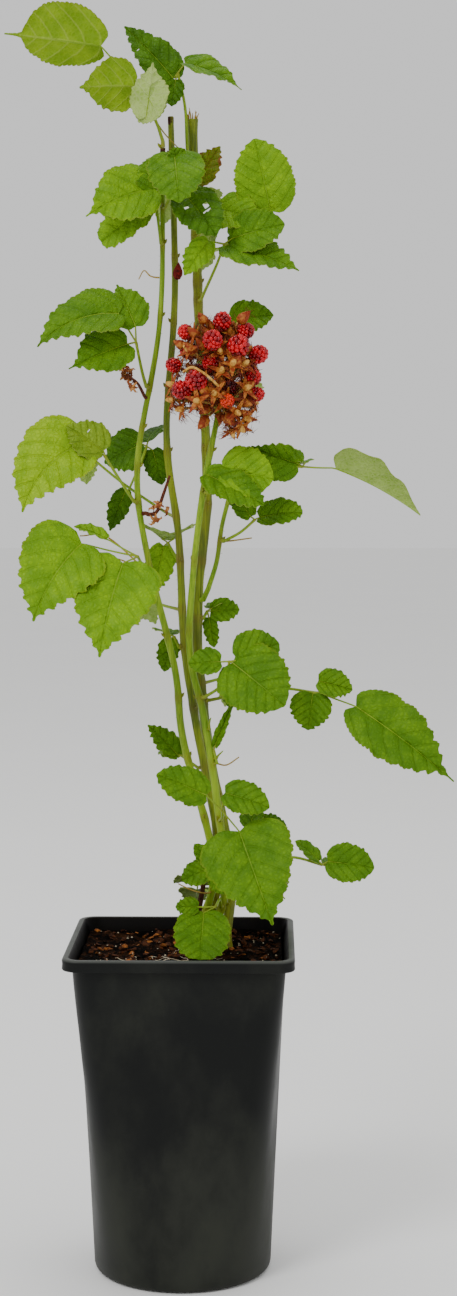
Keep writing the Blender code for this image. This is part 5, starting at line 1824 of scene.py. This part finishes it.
# ---------------------------------------------------------------- pot and soil

@dataclass
class NurseryPot:
    """The moulded pot: square with round corners at its rim, a full circle at its foot."""

    height: float = 0.1932
    rim_half: float = 0.0650
    rim_corner: float = 0.0095
    rim_band: float = 0.0068
    neck_half: float = 0.0600
    neck_corner: float = 0.0120
    foot_radius: float = 0.0515
    foot_chamfer: float = 0.0030
    wall: float = 0.0014
    floor: float = 0.0022
    lip_width: float = 0.0040
    drain_radius: float = 0.0040
    drain_circle: float = 0.0380
    drain_count: int = 4
    angles: tuple[float, ...] = (0, 7, 14, 21, 27, 32, 36, 38.5, 40.5, 41.5, 42.5, 43.5, 44.5, 45.5,
                                 46.5, 47.5, 48.5, 49.5, 51.5, 54, 58, 63, 69, 76, 83)

    def reach(self, angle: float, half: float, corner: float, round_part: float) -> float:
        """Measure from the axis to the wall of a rounded square blended with a circle.

        Args:
            angle: the bearing in degrees.
            half: half the square's side, and the circle's radius.
            corner: the radius of the square's corners.
            round_part: how far the section is a circle, from 0 to 1.

        Returns:
            The distance in metres.
        """
        a = math.radians(angle % 90.0)
        if a > math.pi / 4:
            a = math.pi / 2 - a
        reach = half / math.cos(a)
        inner = half - corner
        if half * math.tan(a) > inner:
            along = inner * (math.cos(a) + math.sin(a))
            reach = along + math.sqrt(max(0.0, along * along - 2 * inner * inner + corner * corner))
        return reach * (1.0 - round_part) + half * round_part

    def section(self, z: float, half: float, corner: float, round_part: float = 0.0) -> list[Vector]:
        """Lay out one closed loop of points round the axis.

        Args:
            z: the height.
            half: half the square's side, and the circle's radius.
            corner: the radius of the square's corners.
            round_part: how far the section is a circle, from 0 to 1.

        Returns:
            The loop.
        """
        loop = []
        for quarter in range(4):
            for part in self.angles:
                angle = quarter * 90.0 + part
                reach = self.reach(angle, half, corner, round_part)
                a = math.radians(angle)
                loop.append(Vector((reach * math.cos(a), reach * math.sin(a), z)))
        return loop

    def ring(self, z: float, inset: float = 0.0) -> list[Vector]:
        """Lay out the loop of the wall at a height.

        Args:
            z: the height.
            inset: how far it is moved inwards.

        Returns:
            The loop.
        """
        up = z / (self.height - self.rim_band)
        half = self.foot_radius + (self.neck_half - self.foot_radius) * up
        round_part = (1.0 - min(1.0, up)) ** 1.35
        corner = self.neck_corner + 0.25 * half * (1.0 - min(1.0, up))
        return self.section(z, half - inset, max(corner - inset, 0.001), round_part)

    def rings(self) -> list[list[Vector]]:
        """Lay out the whole skin, up the outside, over the lip and down inside.

        Returns:
            Every loop in order.
        """
        neck = self.height - self.rim_band
        loops = [self.ring(0.0, self.foot_chamfer + 0.0006), self.ring(0.0, self.foot_chamfer),
                 self.ring(self.foot_chamfer * 0.12, self.foot_chamfer * 0.55),
                 self.ring(self.foot_chamfer * 0.42, self.foot_chamfer * 0.2), self.ring(self.foot_chamfer)]
        loops += [self.ring(neck * part / 20) for part in range(1, 21)]
        loops += [self.section(neck + 0.0001, self.neck_half + 0.0012, self.neck_corner),
                  self.section(neck, self.rim_half - 0.0010, self.rim_corner),
                  self.section(neck + 0.0002, self.rim_half - 0.0004, self.rim_corner),
                  self.section(neck + 0.0009, self.rim_half, self.rim_corner),
                  self.section(neck + 0.0034, self.rim_half - 0.0002, self.rim_corner)]
        lip = 0.0013
        for step in range(5):
            a = math.pi / 2 * step / 4
            loops.append(self.section(self.height - lip * (1.0 - math.sin(a)),
                                      self.rim_half - lip * (1.0 - math.cos(a)), self.rim_corner))
        loops.append(self.section(self.height - 0.0001, self.rim_half - self.lip_width + 0.0006,
                                  self.rim_corner - 0.0015))
        loops.append(self.section(self.height - 0.0006, self.rim_half - self.lip_width,
                                  self.rim_corner - 0.0020))
        loops.append(self.ring(neck - 0.003, self.wall))
        loops += [self.ring(neck * part / 8, self.wall) for part in (7, 6, 5, 4, 3, 2, 1)]
        loops.append(self.ring(self.floor, self.wall + 0.001))
        return loops

    def loft(self, loops: Sequence[Sequence[Vector]]) -> bmesh.types.BMesh:
        """Extrude a circle from loop to loop and cap both ends.

        Args:
            loops: rings of points of the same count.

        Returns:
            The closed skin.
        """
        bm = bmesh.new()
        count = len(loops[0])
        ring = list(bmesh.ops.create_circle(bm, cap_ends=True, segments=count, radius=1.0)["verts"])
        for i, loop in enumerate(loops):
            if i:
                edges = [bm.edges.get((a, b)) for a, b in zip(ring, ring[1:] + ring[:1])]
                made = bmesh.ops.extrude_edge_only(bm, edges=edges)["geom"]
                fresh = {v for v in made if isinstance(v, bmesh.types.BMVert)}
                ring = [next(e.other_vert(v) for e in v.link_edges if e.other_vert(v) in fresh)
                        for v in ring]
            for vert, co in zip(ring, loop):
                vert.co = co
        edges = [bm.edges.get((a, b)) for a, b in zip(ring, ring[1:] + ring[:1])]
        bmesh.ops.contextual_create(bm, geom=edges)
        bmesh.ops.recalc_face_normals(bm, faces=bm.faces)
        return bm

    def build(self) -> None:
        """Build and dress the pot."""
        bm = self.loft(self.rings())
        for face in bm.faces:
            middle = face.calc_center_median()
            if middle.xy.dot(face.normal.xy) < -0.3 * middle.xy.length:
                face.material_index = 1
        mesh = bpy.data.meshes.new("pot_skin")
        bm.to_mesh(mesh)
        bm.free()
        for finish in (POT_PLASTIC, SOILED_PLASTIC):
            mesh.materials.append(surface(finish))
        skin = bpy.data.objects.new("pot_skin", mesh)
        bpy.context.scene.collection.objects.link(skin)
        holes = bmesh.new()
        for i in range(self.drain_count):
            turn = math.tau * (i + 0.5) / self.drain_count
            place = Matrix.Translation((self.drain_circle * math.cos(turn),
                                        self.drain_circle * math.sin(turn), 0.0))
            bmesh.ops.create_cone(holes, cap_ends=True, segments=28, radius1=self.drain_radius,
                                  radius2=self.drain_radius, depth=0.02, matrix=place)
        mesh = bpy.data.meshes.new("drains")
        holes.to_mesh(mesh)
        holes.free()
        drains = bpy.data.objects.new("drains", mesh)
        bpy.context.scene.collection.objects.link(drains)
        cut = skin.modifiers.new("Drains", "BOOLEAN")
        cut.operation = "DIFFERENCE"
        cut.solver = "EXACT"
        cut.object = drains
        wall = baked(skin)
        bpy.data.objects.remove(drains)
        add_piece("pot_moulding", wall, (POT_PLASTIC, SOILED_PLASTIC), ("pot",), 38.0)


@dataclass
class SoilBed:
    """The soil: lumpy peat to the pot's wall, with bark chips, grit and root fibres on it."""

    pot: NurseryPot
    top: float = 0.1850
    lump: float = 0.0019
    crumb: float = 0.0010
    bank: float = 0.0014
    bank_width: float = 0.016
    crown: tuple[float, float] = (0.015, 0.012)
    crown_clear: float = 0.026
    chips: int = 360
    specks: int = 80
    fibres: int = 9

    def height(self, x: float, y: float) -> float:
        """Find the height of the soil's surface.

        Args:
            x: the place across.
            y: the place from front to back.

        Returns:
            The height, which rises to a low bank along the wall.
        """
        place = Vector((x, y, 0.0))
        centre = Vector((*self.crown, 0.0))
        far = min(1.0, max(0.0, ((place - centre).length - self.crown_clear) / 0.012))
        lump = noise.noise(place * 95.0) * self.lump * (0.25 + 0.75 * far)
        lump += noise.noise(place * 420.0) * self.crumb + noise.noise(place * 900.0) * self.crumb * 0.5
        wall = self.pot.neck_half - self.pot.wall
        near = max(0.0, 1.0 - (wall - max(abs(x), abs(y))) / self.bank_width)
        return self.top + lump + self.bank * near * near

    def build(self) -> None:
        """Build and dress the soil and what lies on it."""
        pot = self.pot
        neck = pot.height - pot.rim_band
        inset = pot.wall + GAP * 2.0
        loops = [pot.ring(pot.floor + GAP, inset + 0.0013)]
        loops += [pot.ring(neck * part / 8, inset) for part in range(1, 8)]
        edge = pot.ring(neck - 0.003, inset)
        loops.append(edge)
        centre = Vector((*self.crown, 0.0))
        for step in range(44):
            scale = 0.999 - 0.977 * step / 43
            loop = []
            for co in edge:
                place = Vector((co.x * scale, co.y * scale, 0.0)) + centre * (1.0 - scale)
                loop.append(Vector((place.x, place.y, self.height(place.x, place.y))))
            loops.append(loop)
        add_piece("soil_bed", pot.loft(loops), (PEAT,), ("soil",), 70.0)
        self.scatter()

    def spot(self, rng: random.Random, room: float) -> tuple[float, float]:
        """Pick a chance place on the soil, clear of the canes' feet.

        Args:
            rng: the source of chance.
            room: how far it must keep from the wall.

        Returns:
            The place across and from front to back.
        """
        edge = self.pot.neck_half - self.pot.wall - room
        turn = edge - self.pot.neck_corner + room
        while True:
            x, y = rng.uniform(-edge, edge), rng.uniform(-edge, edge)
            corner = math.hypot(max(0.0, abs(x) - turn), max(0.0, abs(y) - turn))
            if math.hypot(x - self.crown[0], y - self.crown[1]) > 0.012 and corner <= max(0.0, edge - turn):
                return x, y

    def scatter(self) -> None:
        """Lay bark chips, grit and root fibres on the surface."""
        rng = random.Random(11)
        bits = bmesh.new()
        for i in range(self.chips + self.specks):
            chip = i < self.chips
            size = rng.uniform(0.9, 3.2) * MM if chip else rng.uniform(0.4, 0.9) * MM
            size *= 1.5 if chip and i % 29 == 0 else 1.0
            x, y = self.spot(rng, size * 1.3)
            shape = Matrix.Diagonal((size, size * rng.uniform(0.35, 0.8), size * rng.uniform(0.14, 0.36), 1.0))
            if not chip:
                shape = Matrix.Diagonal((size, size * 0.8, size * 0.7, 1.0))
            tilt = Matrix.Rotation(rng.uniform(-0.5, 0.5), 4, "X") @ Matrix.Rotation(rng.uniform(-0.5, 0.5), 4, "Y")
            place = Matrix.Translation((x, y, self.height(x, y) + size * 0.12))
            matrix = place @ Matrix.Rotation(rng.uniform(0, math.tau), 4, "Z") @ tilt @ shape
            made = bmesh.ops.create_icosphere(bits, subdivisions=1, radius=1.0, matrix=matrix)["verts"]
            for vert in made:
                vert.co += Vector([rng.uniform(-1, 1) for _ in range(3)]) * size * 0.16
            for face in {f for v in made for f in v.link_faces}:
                face.material_index = (2 if i % 8 == 0 else 0) if chip else 1
        bmesh.ops.recalc_face_normals(bits, faces=bits.faces)
        add_piece("bark_chips_and_grit", bits, (BARK_CHIPS, GRIT, FRESH_CHIPS), ("soil",), 20.0)
        roots = Limbs()
        for _ in range(self.fibres):
            x, y = self.spot(rng, 0.012)
            heading = rng.uniform(0, math.tau)
            line = []
            for _ in range(rng.randint(4, 9)):
                heading += rng.uniform(-0.9, 0.9)
                x = min(0.050, max(-0.050, x + 0.0028 * math.cos(heading)))
                y = min(0.050, max(-0.050, y + 0.0028 * math.sin(heading)))
                line.append(Vector((x, y, self.height(x, y) + rng.uniform(0.0002, 0.0016))))
            line = smooth_path(line, 0.0012)
            roots.add(line, [0.00016] * len(line), 4)
        for knots in ROOT_CURLS:
            line = smooth_path([Vector((x * MM, y * MM, self.height(x * MM, y * MM) + up * MM))
                                for x, y, up in knots], 0.001)
            roots.add(line, [0.00028] * len(line), 5)
        add_piece("root_fibres", roots.done(), (FIBRES,), ("soil",), 60.0)


# ---------------------------------------------------------------- studio

@dataclass(frozen=True)
class FloorFinish:
    """Matt white studio board."""

    name: str = "matt_studio_board"
    light: str = "#f8f8f7"
    dark: str = "#f4f4f2"

    def material(self) -> bpy.types.Material:
        """Dress the floor, whose soft white the eye takes for the backdrop.

        Returns:
            The material.
        """
        mat, tree, shader = new_material(self.name)
        spot = add_node(tree, "TexCoord")
        cloud = add_node(tree, "TexNoise", {"Vector": (spot, "Object"), "Scale": 3.0, "Detail": 3.0})
        colour = add_node(tree, "Mix", {0: (cloud, 0), 6: linear(self.light), 7: linear(self.dark)}, **RGBA)
        wire(tree, shader, {"Base Color": (colour, 2), "Roughness": 0.8})
        return mat


@dataclass
class Studio:
    """The camera of the photograph, a pale floor and soft lights."""

    camera_place: tuple[float, float, float] = (0.0516, -1.2692, 0.4551)
    camera_pitch: float = -0.0731
    camera_yaw: float = 0.0195
    lens_mm: float = 61.43
    floor_size: float = 30.0
    lights: tuple[tuple[str, tuple[float, float, float], float, float], ...] = (
        ("key", (-1.3, -2.0, 2.4), 1.1, 44.0),
        ("fill", (2.2, -1.6, 1.1), 1.8, 6.0),
        ("top", (0.2, 0.6, 2.8), 1.6, 16.0),
    )

    def build(self) -> None:
        """Set the stage."""
        floor = bmesh.new()
        bmesh.ops.create_grid(floor, x_segments=1, y_segments=1, size=self.floor_size / 2,
                              matrix=Matrix.Translation((0.0, 0.0, -0.0005)))
        mesh = bpy.data.meshes.new("studio_floor")
        floor.to_mesh(mesh)
        floor.free()
        mesh.materials.append(surface(FloorFinish()))
        obj = bpy.data.objects.new("studio_floor", mesh)
        bpy.context.scene.collection.objects.link(obj)
        cam = bpy.data.cameras.new("camera")
        cam.lens = self.lens_mm
        cam.sensor_width = 36.0
        cam.sensor_fit = "AUTO"
        eye = bpy.data.objects.new("camera", cam)
        eye.location = self.camera_place
        eye.rotation_euler = (math.pi / 2 + self.camera_pitch, 0.0, self.camera_yaw)
        bpy.context.scene.collection.objects.link(eye)
        bpy.context.scene.camera = eye
        for name, place, size, power in self.lights:
            lamp = bpy.data.lights.new(name, "AREA")
            lamp.shape = "DISK"
            lamp.size = size
            lamp.energy = power
            obj = bpy.data.objects.new(name, lamp)
            obj.location = place
            aim = Vector((0.0, 0.0, 0.38)) - Vector(place)
            obj.rotation_euler = aim.to_track_quat("-Z", "Y").to_euler()
            bpy.context.scene.collection.objects.link(obj)
        world = bpy.data.worlds.new("studio")
        world.use_nodes = True
        bpy.context.scene.world = world
        sky = world.node_tree.nodes["Background"]
        sky.inputs["Color"].default_value = (1.0, 1.0, 1.0, 1.0)
        sky.inputs["Strength"].default_value = 0.85


def main() -> None:
    """Build the whole plant and its pot."""
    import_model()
    Studio().build()
    pot = NurseryPot()
    pot.build()
    SoilBed(pot).build()
    canes = CaneSet()
    canes.plan()
    canes.build()
    FruitCluster(canes.grown).build()
    for mass in FRONT + BACK:
        FoliageMass(mass, canes.grown).build()
    for mass in DEAD:
        DeadTwig(mass, canes.grown).build()


if __name__ == "__main__":
    logging.basicConfig(level=logging.INFO, format="%(name)s %(message)s")
    main()
